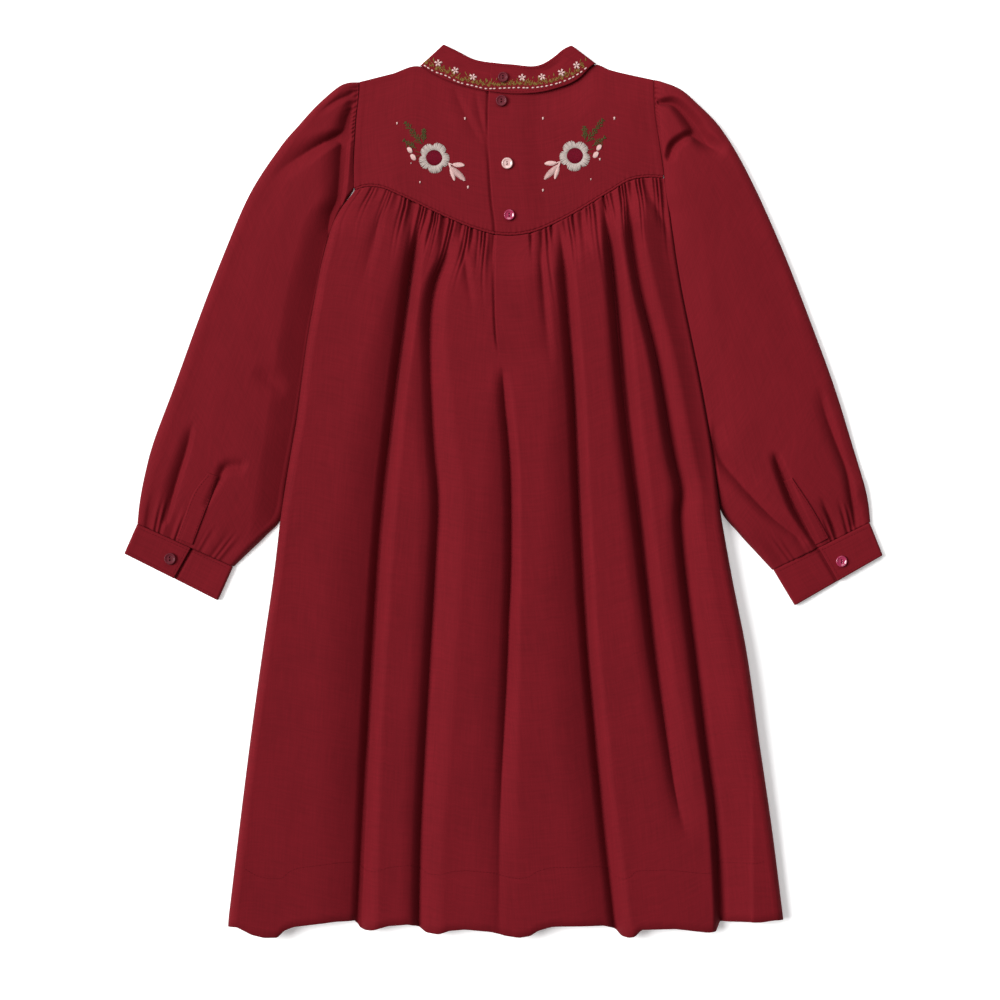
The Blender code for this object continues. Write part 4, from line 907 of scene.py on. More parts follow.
RED_CLOTH = cloth_material("red_brushed_twill", (0.124, 0.0048, 0.0090), 0.34, 0.22, 0.5, 0.03)
PIPING_CLOTH = cloth_material("red_piping", (0.120, 0.0046, 0.0086), 0.2, 0.2, 0.3, 0.02)
print("cloth materials:", RED_CLOTH.name, PIPING_CLOTH.name)

# %% [markdown]
# ## The gathered skirt
# The skirt is the largest sheet. Its columns run from one gather at the yoke seam down to the hem and
# follow the long folds, so that a steep fold never cuts across the grid. The left half reaches under
# the right one beside the slit, and below the slit both are one cloth.
# Its round sides roll down to the table, where they meet the front.


# %% Skirt surface
def high_on_the_right(y):
    """1 where the skirt's right side lies low against the sleeve, 0 from the cuff down."""
    return smooth((np.asarray(y, float) + 50.0) / 90.0)


def side_roll(y, side="left"):
    roll = mix(2.0, 8.0, smooth((266.0 - np.asarray(y, float)) / 60.0))
    return roll * (1.0 - 0.6 * high_on_the_right(y)) if side == "right" else roll


def along_past(fold, y):
    first, second = fold[-3], fold[-2]
    return second.x + (y - second.y) * (second.x - first.x) / (second.y - first.y) * 0.55


def guides(y):
    left = along(SIDES, "y", "left", y) + side_roll(y)
    right = along(SIDES, "y", "right", y) - side_roll(y, "right")
    folds = [along(fold, "y", "x", y) for fold in LONG_FOLDS]
    folds[2] = along(LAP_EDGE, "y", "x", y)
    folds[4] = np.where(y < -272.0, along_past(FOLD_FIVE, y), folds[4])
    return [left, *folds, right]


def column_x(column, y):
    lines = guides(y)
    crowd = CROWDING * smooth((220.0 - y) / 90.0)
    x = np.zeros(np.shape(y))
    start = 0
    for number, gathers in enumerate(SPANS):
        share = (column - start) / gathers
        inside = (share >= 0.0) & (share <= 1.0)
        share = share - crowd * np.sin(2.0 * np.pi * share) / (2.0 * np.pi)
        x = np.where(inside, mix(lines[number], lines[number + 1], share), x)
        start += gathers
    return x


def hem_y(x):
    places = [row.x for row in HEM]
    levels = [row.y for row in HEM]
    shifts = (-HEM_SOFTNESS, 0.0, HEM_SOFTNESS)
    return sum(np.interp(x + shift, places, levels) for shift in shifts) / len(shifts)


def seam_y(x):
    return along(YOKE_SEAM, "x", "y", x)


def column_ends(columns):
    top = np.full(np.shape(columns), 240.0)
    low = np.full(np.shape(columns), -380.0)
    for _ in range(16):
        top = mix(top, seam_y(column_x(columns, top)) - PIPING_ROOM, 0.7)
        low = mix(low, hem_y(column_x(columns, low)), 0.7)
    return top, low


def uneven(number, seed):
    return 0.5 + 0.5 * np.sin(number * 12.9898 + seed * 4.1) * np.cos(number * 4.37 + seed)


def gather_depth(column, below_seam, seam_x):
    """Gathers of uneven width, depth and length, that lean a little on their way down."""
    lean = 0.25 * np.sin(column * 0.9 + 1.0) * smooth(below_seam / 30.0)
    place = column + 0.38 * np.sin(column * 1.9) + 0.28 * np.sin(column * 0.73 + 1.0) + lean
    number = np.floor(place)
    strength = uneven(number, 1.0)
    depth = GATHER_DEPTH * (0.30 + 0.85 * strength)
    length = GATHER_LENGTH * (0.35 + 1.15 * uneven(number, 2.0) ** 1.5)
    wave = 0.5 - 0.5 * np.cos(2.0 * np.pi * (place - number))
    plain = smooth((PLAIN_FROM - seam_x) / 2.0) + smooth((seam_x - PLAIN_TO) / 2.0)
    pleated = 0.35 + 0.65 * smooth((seam_x + 96.0) / 8.0)
    fade = np.exp(-(below_seam / length) ** 2)
    return plain * pleated * depth * wave ** 1.4 * fade


SHORT_PATHS = [short_fold(row) for row in SHORT_FOLDS]


def right_side_drop(x, y):
    """The skirt's upper right side slopes down until it is level with the sleeve."""
    from_side = along(SIDES, "y", "right", y) - x
    return RIGHT_SIDE_DROP * (1.0 - smooth(from_side / RIGHT_SIDE_SLOPE)) * high_on_the_right(y)


def skirt_height(x, y, below_seam, above_hem):
    rise = smooth(below_seam / SKIRT_RISE)
    height = mix(SKIRT_TOP_HEIGHT, SKIRT_HEIGHT, rise)
    height = height - (SKIRT_HEIGHT - HEM_HEIGHT) * smooth(1.0 - above_hem / HEM_SINKS_OVER)
    height = height - right_side_drop(x, y) * rise
    folds = folds_depth(LONG_FOLDS, x - FOLD_SHIFT, y, LONG) * FOLD_SCALE
    folds = folds + folds_depth(SHORT_PATHS, x, y) * (0.4 + 0.6 * rise)
    height = height - folds * (0.3 + 0.7 * rise)
    return LOWEST_BACK + np.sqrt(np.maximum(height - LOWEST_BACK, 0.0) ** 2 + 0.09)


LIP = 0.06
LIP_FADE = 2.2


def lean_over(x, y):
    """How far the cloth beside each long fold leans over it, away from its own soft side."""
    shift = np.zeros(x.shape)
    for fold in LONG_FOLDS:
        line = along(fold, "y", "x", y)
        depth = along(fold, "y", "depth", y) * FOLD_SCALE
        left, right = along(fold, "y", "left", y), along(fold, "y", "right", y)
        soft_side = np.clip((left - right) / 12.0, -1.0, 1.0)
        sharp = np.where(soft_side > 0.0, right, left)
        away = (x - line) * np.sign(soft_side) / sharp
        shape = smooth(away) * (1.0 - smooth((away - 1.0) / LIP_FADE))
        shift -= LIP * depth * soft_side * shape
    return shift


def lap_lift(x, y):
    edge = along(LAP_EDGE, "y", "x", y)
    run_out = smooth((np.asarray(y, float) - SLIT_END) / 20.0)
    return LAP_LIFT * (1.0 - smooth((x - edge - 26.0) / 20.0)) * run_out


def lap_groove(x, y):
    """The lap presses the cloth beneath it down along its edge."""
    edge = along(LAP_EDGE, "y", "x", y)
    run_out = smooth((np.asarray(y, float) - SLIT_END) / 20.0)
    return 1.7 * np.exp(-((x - edge + 0.6) / 1.5) ** 2) * run_out


HEM_DEPTH = 52.0


def hem_press(above_hem):
    """The hem's upper edge is stitched down: a faint line, with the doubled cloth below it."""
    line = 0.45 * np.exp(-((above_hem - HEM_DEPTH) / 1.6) ** 2)
    return 0.18 * smooth((HEM_DEPTH - above_hem) / 3.0) - line


def skirt_points(columns, shares, right_half):
    columns = np.asarray(columns, float)
    top, low = column_ends(columns)
    y = mix(top[None, :], low[None, :], np.asarray(shares, float)[:, None])
    spread = np.broadcast_to(columns, y.shape)
    x = column_x(spread, y)
    below, above = top[None, :] - y, y - low[None, :]
    seam_x = np.broadcast_to(column_x(columns, top), y.shape)
    height = skirt_height(x, y, below, above) - gather_depth(spread, below, seam_x)
    height = np.maximum(height, LOWEST_BACK)
    calm = smooth(below / 30.0) * smooth((height - LOWEST_BACK) / 3.0)
    height = height + 0.5 * crumple(x, y * 0.6, 46.0, 3.0) * calm + hem_press(above) * calm
    if right_half:
        height = height + lap_lift(x, y)
    else:
        height = height - lap_groove(x, y)
    return np.stack([x + lean_over(x, y), y, height], axis=2)


def roll_points(edge, left_side, steps):
    y = edge[:, 1]
    radius = side_roll(y, "left" if left_side else "right")
    half = edge[:, 2] / 2.0
    sign = -1.0 if left_side else 1.0
    outer, inner = [], []
    for turn in np.radians(np.linspace(-90.0, 90.0, steps + 1)[:-1]):
        reach = np.cos(turn)
        outer.append(np.stack([
            edge[:, 0] + sign * radius * reach, y, half + half * np.sin(turn),
        ], axis=1))
        inner.append(np.stack([
            edge[:, 0] + sign * np.maximum(radius - CLOTH, 0.5) * reach, y,
            half + (half - CLOTH) * np.sin(turn),
        ], axis=1))
    return np.stack(outer, axis=1), np.stack(inner, axis=1)


def underlap_points(edge):
    points = []
    for share in np.linspace(0.0, 1.0, 9)[1:]:
        x, y = edge[:, 0] + UNDERLAP * share, edge[:, 1]
        below = np.maximum(seam_y(x) - y, 0.0)
        over = skirt_height(x, y, below, y + 380.0) + lap_lift(x, y)
        z = over - CLOTH - mix(0.4, UNDERLAP_DROP, min(1.0, share * 3.0))
        points.append(np.stack([x, np.minimum(y, seam_y(x) - 1.5), z], axis=1))
    return np.stack(points, axis=1)


def skirt_rows(count):
    """Shares of the way down, closer together near the gathers."""
    even = np.linspace(0.0, 1.0, count)
    return 0.35 * even + 0.65 * even ** 1.9


def build_skirt():
    wall = Wall()
    per_gather, rows = 6, 125
    centre, last = sum(SPANS[:3]), sum(SPANS)
    shares = skirt_rows(rows)
    left = skirt_points(np.linspace(0, centre, centre * per_gather + 1), shares, False)
    right = skirt_points(np.linspace(centre, last, (last - centre) * per_gather + 1), shares, True)
    flat_left, flat_right = flat_grid(left), flat_grid(right)
    left_numbers = wall.points(left, skin_within(left))
    right_numbers = wall.points(right, skin_within(right))
    joined = int(np.argmax(right[:, 0, 1] < SLIT_END + 1.0))
    free_column = left_numbers[:, -1].copy()
    left_numbers[joined:, -1] = right_numbers[joined:, 0]
    wall.skin(left_numbers, flat_left)
    wall.skin(right_numbers, flat_right)

    outer, inner = roll_points(left[:, 0], True, 9)
    rolled = wall.points(outer, inner)
    grid = np.concatenate([rolled, left_numbers[:, :1]], axis=1)
    wall.skin(grid, flat_grid(np.concatenate([outer, left[:, :1]], axis=1)))
    outer, inner = roll_points(right[:, -1], False, 9)
    rolled = wall.points(outer[:, ::-1], inner[:, ::-1])
    grid = np.concatenate([right_numbers[:, -1:], rolled], axis=1)
    wall.skin(grid, flat_grid(np.concatenate([right[:, -1:], outer[:, ::-1]], axis=1)))

    lap = underlap_points(left[:joined, -1])
    lap_numbers = wall.points(lap, under_skin(lap))
    grid = np.concatenate([free_column[:joined, None], lap_numbers], axis=1)
    wall.skin(grid, flat_grid(np.concatenate([left[:joined, -1:], lap], axis=1)))
    return wall.build("skirt_back_cloth", RED_CLOTH)


skirt = finish_piece(build_skirt(), "back_skirt")
print("skirt faces:", len(skirt.data.polygons))

# %% [markdown]
# ## The yoke
# The yoke is two flat halves with a soft fullness. The right half laps over the left one for the
# buttons. A seam allowance pressed inside shows as a faint ridge beside each seam, and the cloth of
# the left half drags a little below the collar.
# Inside the neck, the top edge reaches a little way under the collar.


# %% Yoke surface
def yoke_height(x, y):
    from_shoulder = along(NECK_SEAM, "x", "y", x) - y
    side = np.minimum(x + 132.0, 142.0 - x)
    full = smooth(from_shoulder / 40.0) * smooth(side / 40.0)
    height = mix(SHOULDER_HEIGHT + 0.9 * smooth(from_shoulder / 25.0), YOKE_HEIGHT, full)
    return height - folds_depth(YOKE_CREASES, x, y) * smooth((-14.0 - x) / 3.0)


def yoke_finish(x, y):
    """Fine unevenness of the yoke: pressed seam allowances and a puckered lower seam."""
    to_left = x - along(ARMHOLES, "y", "left", y)
    to_right = along(ARMHOLES, "y", "right", y) - x
    to_arm = np.minimum(to_left, to_right)
    to_neck = along(NECK_SEAM, "x", "y", x) - y
    to_seam = y - seam_y(x)
    ridge = 0.22 * smooth((6.5 - to_arm) / 1.6) + 0.16 * smooth((6.0 - to_neck) / 1.6)
    dip = -0.25 * np.exp(-(to_arm / 1.4) ** 2) - 0.2 * np.exp(-(to_neck / 1.4) ** 2)
    pucker = 0.22 * np.sin(x * 1.5 + 1.3 * np.sin(x * 0.31)) * np.exp(-(to_seam / 5.0) ** 2)
    return ridge + dip + pucker + 0.30 * crumple(x, y, 38.0, 1.0)


UNDER_COLLAR = 1.5
NECK_LEFT = -72.0
NECK_RIGHT = 78.0
NECK_FADE = 5.0


def yoke_points(columns, rows, from_x, to_x, right_half):
    share_x = np.linspace(0.0, 1.0, columns)[None, :]
    share_y = np.linspace(0.0, 1.0, rows)[:, None]
    y = np.broadcast_to(mix(350.0, 250.0, share_y), (rows, columns))
    for _ in range(10):
        x = mix(from_x(y), to_x(y), share_x)
        in_the_neck = smooth((x - NECK_LEFT) / NECK_FADE) * smooth((NECK_RIGHT - x) / NECK_FADE)
        top = along(NECK_SEAM, "x", "y", x) - SEAM_GAP / 2.0 + UNDER_COLLAR * in_the_neck
        low = seam_y(x) + PIPING_CLOSE
        y = mix(top, low, share_y)
    height = yoke_height(x, y)
    edge = along(LAP_EDGE, "y", "x", y)
    if right_half:
        height = height + lap_lift(x, y) + yoke_finish(x, y) * smooth((x - edge - 2.0) / 20.0 + 0.3)
    else:
        height = height + yoke_finish(x, y) * smooth((edge - x + 2.0) / 6.0) - lap_groove(x, y)
    return np.stack([x, y, height], axis=2)


def build_yoke(name, right_half):
    def armhole_left(y):
        return along(ARMHOLES, "y", "left", y)

    def armhole_right(y):
        return along(ARMHOLES, "y", "right", y)

    def lap_edge(y):
        return along(LAP_EDGE, "y", "x", y)

    def underlap_edge(y):
        return lap_edge(y) + UNDERLAP

    if right_half:
        points = yoke_points(150, 90, lap_edge, armhole_right, True)
    else:
        points = yoke_points(150, 90, armhole_left, underlap_edge, False)
    wall = Wall()
    wall.skin(wall.points(points, under_skin(points)), flat_grid(points))
    return wall.build(name, RED_CLOTH)


yoke_left = finish_piece(build_yoke("yoke_left_cloth", False), "back_yoke_left")
yoke_right = finish_piece(build_yoke("yoke_right_cloth", True), "back_yoke_right")
print("yoke faces:", len(yoke_left.data.polygons), len(yoke_right.data.polygons))

# %% [markdown]
# ## Piping in the yoke seam
# Piping is a cord wrapped in a strip of the cloth and sewn into the seam. Where the gathers pull on
# it, its surface ripples a little.


# %% Piping
def build_piping(name, from_x, to_x, right_half):
    stations, sides = 420, 12
    x = np.linspace(from_x, to_x, stations)
    y = seam_y(x) + 0.10 * np.sin(x * 1.1)
    z = yoke_height(x, y) - PIPING / 2.0 + PIPING_LIFT
    if right_half:
        z = z + lap_lift(x, y)
    path = np.stack([x, y, z], axis=1)
    run = np.gradient(path, axis=0)
    run /= np.linalg.norm(run, axis=1)[:, None]
    aside = np.cross(run, (0.0, 0.0, 1.0))
    aside /= np.linalg.norm(aside, axis=1)[:, None]
    over = np.cross(aside, run)
    radius = PIPING / 2.0 * (1.06 + 0.05 * np.sin(x * 2.4 + np.sin(x * 0.5)))
    ends = np.minimum(np.arange(stations), np.arange(stations)[::-1])
    radius = (radius * np.sqrt(np.clip((ends + 0.4) / 3.0, 0.0, 1.0)))[:, None]
    points = []
    for side in range(sides):
        turn = 2.0 * math.pi * side / sides
        points.append(path + (aside * math.cos(turn) + over * math.sin(turn)) * radius)
    grid = np.stack(points, axis=1)
    numbers = np.arange(stations * sides).reshape(stations, sides)
    numbers = np.concatenate([numbers, numbers[:, :1]], axis=1)
    length = np.concatenate([[0.0], np.cumsum(np.linalg.norm(np.diff(path, axis=0), axis=1))])
    around = np.arange(sides + 1) / sides * PIPING * math.pi
    flat = np.stack(np.meshgrid(around, length), axis=-1)
    corners = [numbers[:-1, :-1], numbers[1:, :-1], numbers[1:, 1:], numbers[:-1, 1:]]
    places = [flat[:-1, :-1], flat[1:, :-1], flat[1:, 1:], flat[:-1, 1:]]
    quads = np.stack(corners, axis=-1).reshape(-1, 4)
    places = np.stack(places, axis=-2).reshape(-1, 4, 2)
    return mesh_object(name, grid.reshape(-1, 3), quads, places, PIPING_CLOTH)


piping_left = build_piping("piping_left_cord", -131.6, -8.0, False)
finish_piece(piping_left, "yoke_piping_left")
piping_right = build_piping("piping_right_cord", -8.4, 140.4, True)
finish_piece(piping_right, "yoke_piping_right")
print("piping faces:", len(piping_left.data.polygons) + len(piping_right.data.polygons))

# %% [markdown]
# ## Sleeves
# Each sleeve is a full tube, flattened. Its under side rests on the table; its upper side carries the
# creases that hang from the armhole, small gathers at the cap and the gathers into the cuff.
# Its inner edge is tucked just under the side of the skirt, so that no table shows between them.


# %% Sleeve surface
def cuff_gathers(part, share):
    near = smooth((share - 0.84) / 0.16)
    outer_side = smooth((part - 0.05) / 0.05) * smooth((0.45 - part) / 0.04)
    inner_side = smooth((part - 0.58) / 0.08) * smooth((0.96 - part) / 0.08)
    place = np.maximum(outer_side, 0.55 * inner_side)
    wave = 0.5 - 0.5 * np.cos(2.0 * np.pi * (part * 14.0 + 0.3 * np.sin(part * 31.0)))
    reach = 0.55 + 0.45 * uneven(np.floor(part * 14.0), 3.0)
    return 1.7 * smooth(near / reach) * place * wave


def cap_gathers(part, share):
    """Small gathers that ease the cap of the sleeve into the armhole."""
    near = np.exp(-(share / 0.055) ** 2) * smooth(share / 0.01)
    place = smooth((part - 0.02) / 0.06) * smooth((0.62 - part) / 0.2)
    wave = 0.5 - 0.5 * np.cos(2.0 * np.pi * (part * 24.0 + 0.4 * np.sin(part * 17.0)))
    return 1.5 * near * place * wave


TUCKED_UNDER = 0.5
BESIDE_SKIRT_TOP = 266.0
BESIDE_SKIRT_LOW = -16.0


class SleeveGround:
    """Where the sleeve's sections lie on the table, and the way across each of them."""

    def __init__(self, sections, side, rows):
        self.side = side
        self.share = np.linspace(0.0, 1.0, rows)[:, None]
        self.table = {name: along_rows(sections, name, self.share) for name in Section._fields}
        self.start = np.concatenate([self.table["outer_x"], self.table["outer_y"]], axis=1)
        self.end = np.concatenate([self.table["inner_x"], self.table["inner_y"]], axis=1)
        skirt_side = along(SIDES, "y", side, self.end[:, 1])
        beside_skirt = (self.end[:, 1] < BESIDE_SKIRT_TOP) & (self.end[:, 1] > BESIDE_SKIRT_LOW)
        if side == "left":
            tucked = np.maximum(self.end[:, 0], skirt_side + TUCKED_UNDER)
        else:
            tucked = np.minimum(self.end[:, 0], skirt_side - TUCKED_UNDER)
        self.end[:, 0] = np.where(beside_skirt, tucked, self.end[:, 0])
        self.width = np.linalg.norm(self.end - self.start, axis=1)[:, None]

    def place(self, across):
        part = (across / self.width)[..., None]
        point = self.start[:, None] + (self.end - self.start)[:, None] * part
        seam = self.start[0] + (self.end[0] - self.start[0]) * part
        gap = -SEAM_GAP if self.side == "left" else SEAM_GAP
        bow = along(ARMHOLES, "y", self.side, seam[..., 1]) + gap - seam[..., 0]
        point[..., 0] += bow * np.maximum(0.0, 1.0 - self.share * ARMHOLE_FADE)
        return point

    def raised(self, across, height):
        spread = self.place(across)
        return np.concatenate([spread, np.broadcast_to(height, spread.shape[:2])[..., None]], axis=2)


def sleeve_sink(x, y, side):
    """The sleeve sinks towards the skirt, whose side lies over it."""
    edge = along(SIDES, "y", side, y)
    away = edge - x if side == "left" else x - edge
    below_armhole = smooth((262.0 - y) / 20.0)
    return SLEEVE_SINK[side] * (1.0 - np.clip(away / SLEEVE_SINK_WIDTH, 0.0, 1.0)) ** 1.4 * below_armhole


def sleeve_roof(ground, folds, across, line_from, line_to, seed):
    """How high the sleeve's upper side stands, with its folds, gathers and unevenness."""
    point = ground.place(across)
    x, y, share, part = point[..., 0], point[..., 1], ground.share, across / ground.width
    middle = np.minimum(across - line_from, line_to - across) / (ground.width * 0.5)
    height = ground.table["height"] * (0.86 + 0.14 * smooth(middle * 1.6))
    height = height * (1.0 - sleeve_sink(x, y, ground.side))
    pressed = folds_depth(folds, x, y, SLEEVE) * SLEEVE_FOLD_SCALE
    height = height - pressed * smooth(share * 16.0) - cuff_gathers(part, share)
    height = height - cap_gathers(part, share)
    calm = smooth(share / 0.1) * smooth((1.0 - share) / 0.12)
    height = height + 0.55 * crumple(x, y, 58.0, seed) * calm
    return np.maximum(height, LOWEST_SLEEVE)


def sleeve_skins(sections, folds, side, rows, roof_columns, roll_steps, floor_columns, seed):
    """The outer and inner skins of a sleeve, one ring a row, from the armhole to the cuff."""
    ground = SleeveGround(sections, side, rows)
    line_from = ground.table["outer_roll"]
    line_to = ground.width - ground.table["inner_roll"]
    across = mix(line_from, line_to, np.linspace(0.0, 1.0, roof_columns)[None, :])
    height = sleeve_roof(ground, folds, across, line_from, line_to, seed)
    slope = np.gradient(height, axis=1) / np.gradient(across, axis=1)
    lean = np.minimum(np.sqrt(1.0 + slope ** 2), 1.6)

    turn = np.radians(np.linspace(-90.0, 90.0, roll_steps + 1)[:-1])[None, :]
    roll, half = line_from, height[:, :1] / 2.0
    outer = [ground.raised(line_from - roll * np.cos(turn), half + half * np.sin(turn))]
    inner = [ground.raised(line_from - (roll - CLOTH) * np.cos(turn), half + (half - CLOTH) * np.sin(turn))]

    outer.append(ground.raised(across, height))
    inner.append(ground.raised(across, height - CLOTH * lean))

    turn = np.radians(np.linspace(90.0, 0.0, roll_steps + 1)[1:])[None, :]
    roll, top = ground.table["inner_roll"], height[:, -1:]
    outer.append(ground.raised(line_to + roll * np.cos(turn), top * np.sin(turn)))
    inner.append(ground.raised(
        line_to + (roll - CLOTH) * np.cos(turn),
        CLOTH + (top - 2.0 * CLOTH) * np.sin(turn),
    ))

    across = mix(line_from, line_to, np.linspace(1.0, 0.0, floor_columns + 2)[None, 1:-1])
    outer.append(ground.raised(across, 0.0))
    inner.append(ground.raised(across, CLOTH))
    return np.concatenate(outer, axis=1), np.concatenate(inner, axis=1)


def build_sleeve(name, sections, folds, side, seed):
    outer, inner = sleeve_skins(sections, folds, side, 170, 110, 9, 12, seed)
    closed = np.concatenate([outer, outer[:, :1]], axis=1)
    flat = flat_grid(closed)
    wall = Wall()
    numbers = wall.points(outer, inner)
    numbers = np.concatenate([numbers, numbers[:, :1]], axis=1)
    if side == "right":
        numbers, flat = numbers[:, ::-1], flat[:, ::-1]
    wall.skin(numbers, flat)
    return wall.build(name, RED_CLOTH)


sleeve_left = build_sleeve("sleeve_left_cloth", SLEEVE_LEFT, SLEEVE_FOLDS_LEFT, "left", 5.0)
sleeve_right = build_sleeve("sleeve_right_cloth", SLEEVE_RIGHT, SLEEVE_FOLDS_RIGHT, "right", 8.0)
finish_piece(sleeve_left, "sleeve_left")
finish_piece(sleeve_right, "sleeve_right")
print("sleeve faces:", len(sleeve_left.data.polygons), len(sleeve_right.data.polygons))

# %% [markdown]
# ## What lies on the cloth
# Plackets, stitches and buttons have to lie on the cloth under them, wherever its folds take it.
# A ray dropped from above finds the cloth's height at any place.


# %% Heights of finished cloth
def top_of(*pieces):
    trees = []
    for piece in pieces:
        count = len(piece.data.vertices)
        points = np.empty(count * 3)
        piece.data.vertices.foreach_get("co", points)
        faces = np.empty(len(piece.data.loops), dtype=np.int32)
        piece.data.loops.foreach_get("vertex_index", faces)
        trees.append(BVHTree.FromPolygons(points.reshape(-1, 3).tolist(), faces.reshape(-1, 4).tolist()))

    def height(x, y):
        start = Vector(((x - MIDDLE[0]) * MM, (y - MIDDLE[1]) * MM, 1.0))
        hits = [tree.ray_cast(start, Vector((0.0, 0.0, -1.0)))[0] for tree in trees]
        return max([hit.z / MM for hit in hits if hit] + [0.0])

    return height


def heights(surface, x, y):
    found = [surface(float(here_x), float(here_y)) for here_x, here_y in zip(np.ravel(x), np.ravel(y))]
    return np.array(found).reshape(np.shape(x))


def build_placket(name, strips, surface, side):
    rows, columns = 70, 14
    share = np.linspace(0.0, 1.0, rows)
    x, y = along_rows(strips, "x", share), along_rows(strips, "y", share)
    width = along_rows(strips, "width", share)
    run = np.stack([np.gradient(x), np.gradient(y)], axis=1)
    run /= np.linalg.norm(run, axis=1)[:, None]
    reach = width[:, None] * np.linspace(0.0, 1.0, columns)[None, :]
    points = np.zeros((rows, columns, 3))
    points[..., 0] = x[:, None] + run[:, 1:] * side * reach
    points[..., 1] = y[:, None] - run[:, :1] * side * reach
    points[..., 2] = heights(surface, points[..., 0], points[..., 1]) + SEAM_GAP + PLACKET_CLOTH
    if side > 0:
        points = points[:, ::-1]
    inner = points.copy()
    inner[..., 2] -= PLACKET_CLOTH
    wall = Wall()
    wall.skin(wall.points(points, inner), flat_grid(points))
    return wall.build(name, RED_CLOTH)


placket_left = build_placket("placket_left_cloth", PLACKET_LEFT, top_of(sleeve_left), 1.0)
placket_right = build_placket("placket_right_cloth", PLACKET_RIGHT, top_of(sleeve_right), -1.0)
finish_piece(placket_left, "sleeve_placket_left")
finish_piece(placket_right, "sleeve_placket_right")
print("placket faces:", len(placket_left.data.polygons), len(placket_right.data.polygons))

# %% [markdown]
# ## Cuffs and collar
# A cuff is a stiff strip of doubled cloth. It starts at the lap's edge, goes out and round under the
# wrist, and comes back up to lie beneath its own start. The collar does the same round the neck.
# Both are drawn as stations, each with a lower point, an upper point and the way its face looks.


# %% Bands
def build_band(name, stations, cloth, rows, bulge):
    low = np.array([station[0] for station in stations])
    high = np.array([station[1] for station in stations])
    face = np.array([station[2] for station in stations], float)
    face = face / np.linalg.norm(face, axis=1)[:, None]
    share = np.linspace(0.0, 1.0, rows)[:, None, None]
    outer = mix(low[None], high[None], share)
    outer = outer + face[None] * bulge(outer, share[..., 0])[..., None]
    inner = outer - face[None] * cloth
    looks = np.cross(high[0] - low[0], low[1] - low[0])
    if np.dot(looks, face[0]) < 0.0:
        outer, inner = outer[::-1], inner[::-1]
    wall = Wall()
    wall.skin(wall.points(outer, inner), flat_grid(outer))
    return wall.build(name, RED_CLOTH)


def cuff_stations(cuff):
    outer_top, inner_top = np.array(cuff.outer_top), np.array(cuff.inner_top)
    outer_low, inner_low = np.array(cuff.outer_low), np.array(cuff.inner_low)
    across = np.linalg.norm(inner_top - outer_top)
    wide = (inner_top - outer_top) / across
    roll = 2.2 / across
    stations = []

    def put(share_top, share_low, z, look, out=0.0):
        top = mix(outer_top, inner_top, share_top) + wide * out
        low = mix(outer_low, inner_low, share_low) + wide * out
        aside = wide * look[0]
        stations.append(((*low, z), (*top, z), (aside[0], aside[1], look[1])))

    for step in np.linspace(0.0, 1.0, 60):
        put(mix(cuff.lap_top, roll, step), mix(cuff.lap_low, roll, step), CUFF_HEIGHT, (0, 1))
    for turn in np.radians(np.linspace(75.0, -75.0, 11)):
        half = CUFF_HEIGHT / 2.0
        look = (-math.cos(turn), math.sin(turn))
        put(roll, roll, half + half * math.sin(turn), look, -2.2 * math.cos(turn))
    for step in np.linspace(0.0, 1.0, 40):
        put(mix(roll, 1.0 - roll, step), mix(roll, 1.0 - roll, step), 0.0, (0, -1))
    for turn in np.radians(np.linspace(-75.0, 75.0, 11)):
        half = (CUFF_HEIGHT - 0.6) / 2.0
        look = (math.cos(turn), math.sin(turn))
        put(1.0 - roll, 1.0 - roll, half + half * math.sin(turn), look, 2.2 * math.cos(turn))
    for step in np.linspace(0.0, 0.97, 50):
        dip = CUFF_LAP_DIP * math.exp(-((1.0 - step) / CUFF_LAP_DIP_WIDTH) ** 2)
        z = CUFF_HEIGHT - 0.6 - 1.2 * float(smooth(step / 0.9)) - dip
        put(mix(1.0 - roll, cuff.lap_top, step), mix(1.0 - roll, cuff.lap_low, step), z, (0, 1))
    for step in np.linspace(0.1, 1.0, 12):
        reach = CUFF_UNDERLAP * step
        put(cuff.lap_top - reach, cuff.lap_low - reach, CUFF_UNDER_HEIGHT, (0, 1))
    return stations


def cuff_bulge(points, share):
    """Doubled cloth is thickest just inside its stitched edges."""
    edge = np.minimum(share, 1.0 - share)
    return 0.16 * smooth(edge / 0.06) - 0.16 * np.exp(-((edge - 0.11) / 0.022) ** 2) * 0.6 


def front_curve(rows, count):
    shares = np.linspace(1.0, 0.0, count)
    return np.stack([along_rows(rows, "x", shares), along_rows(rows, "y", shares)], axis=1)


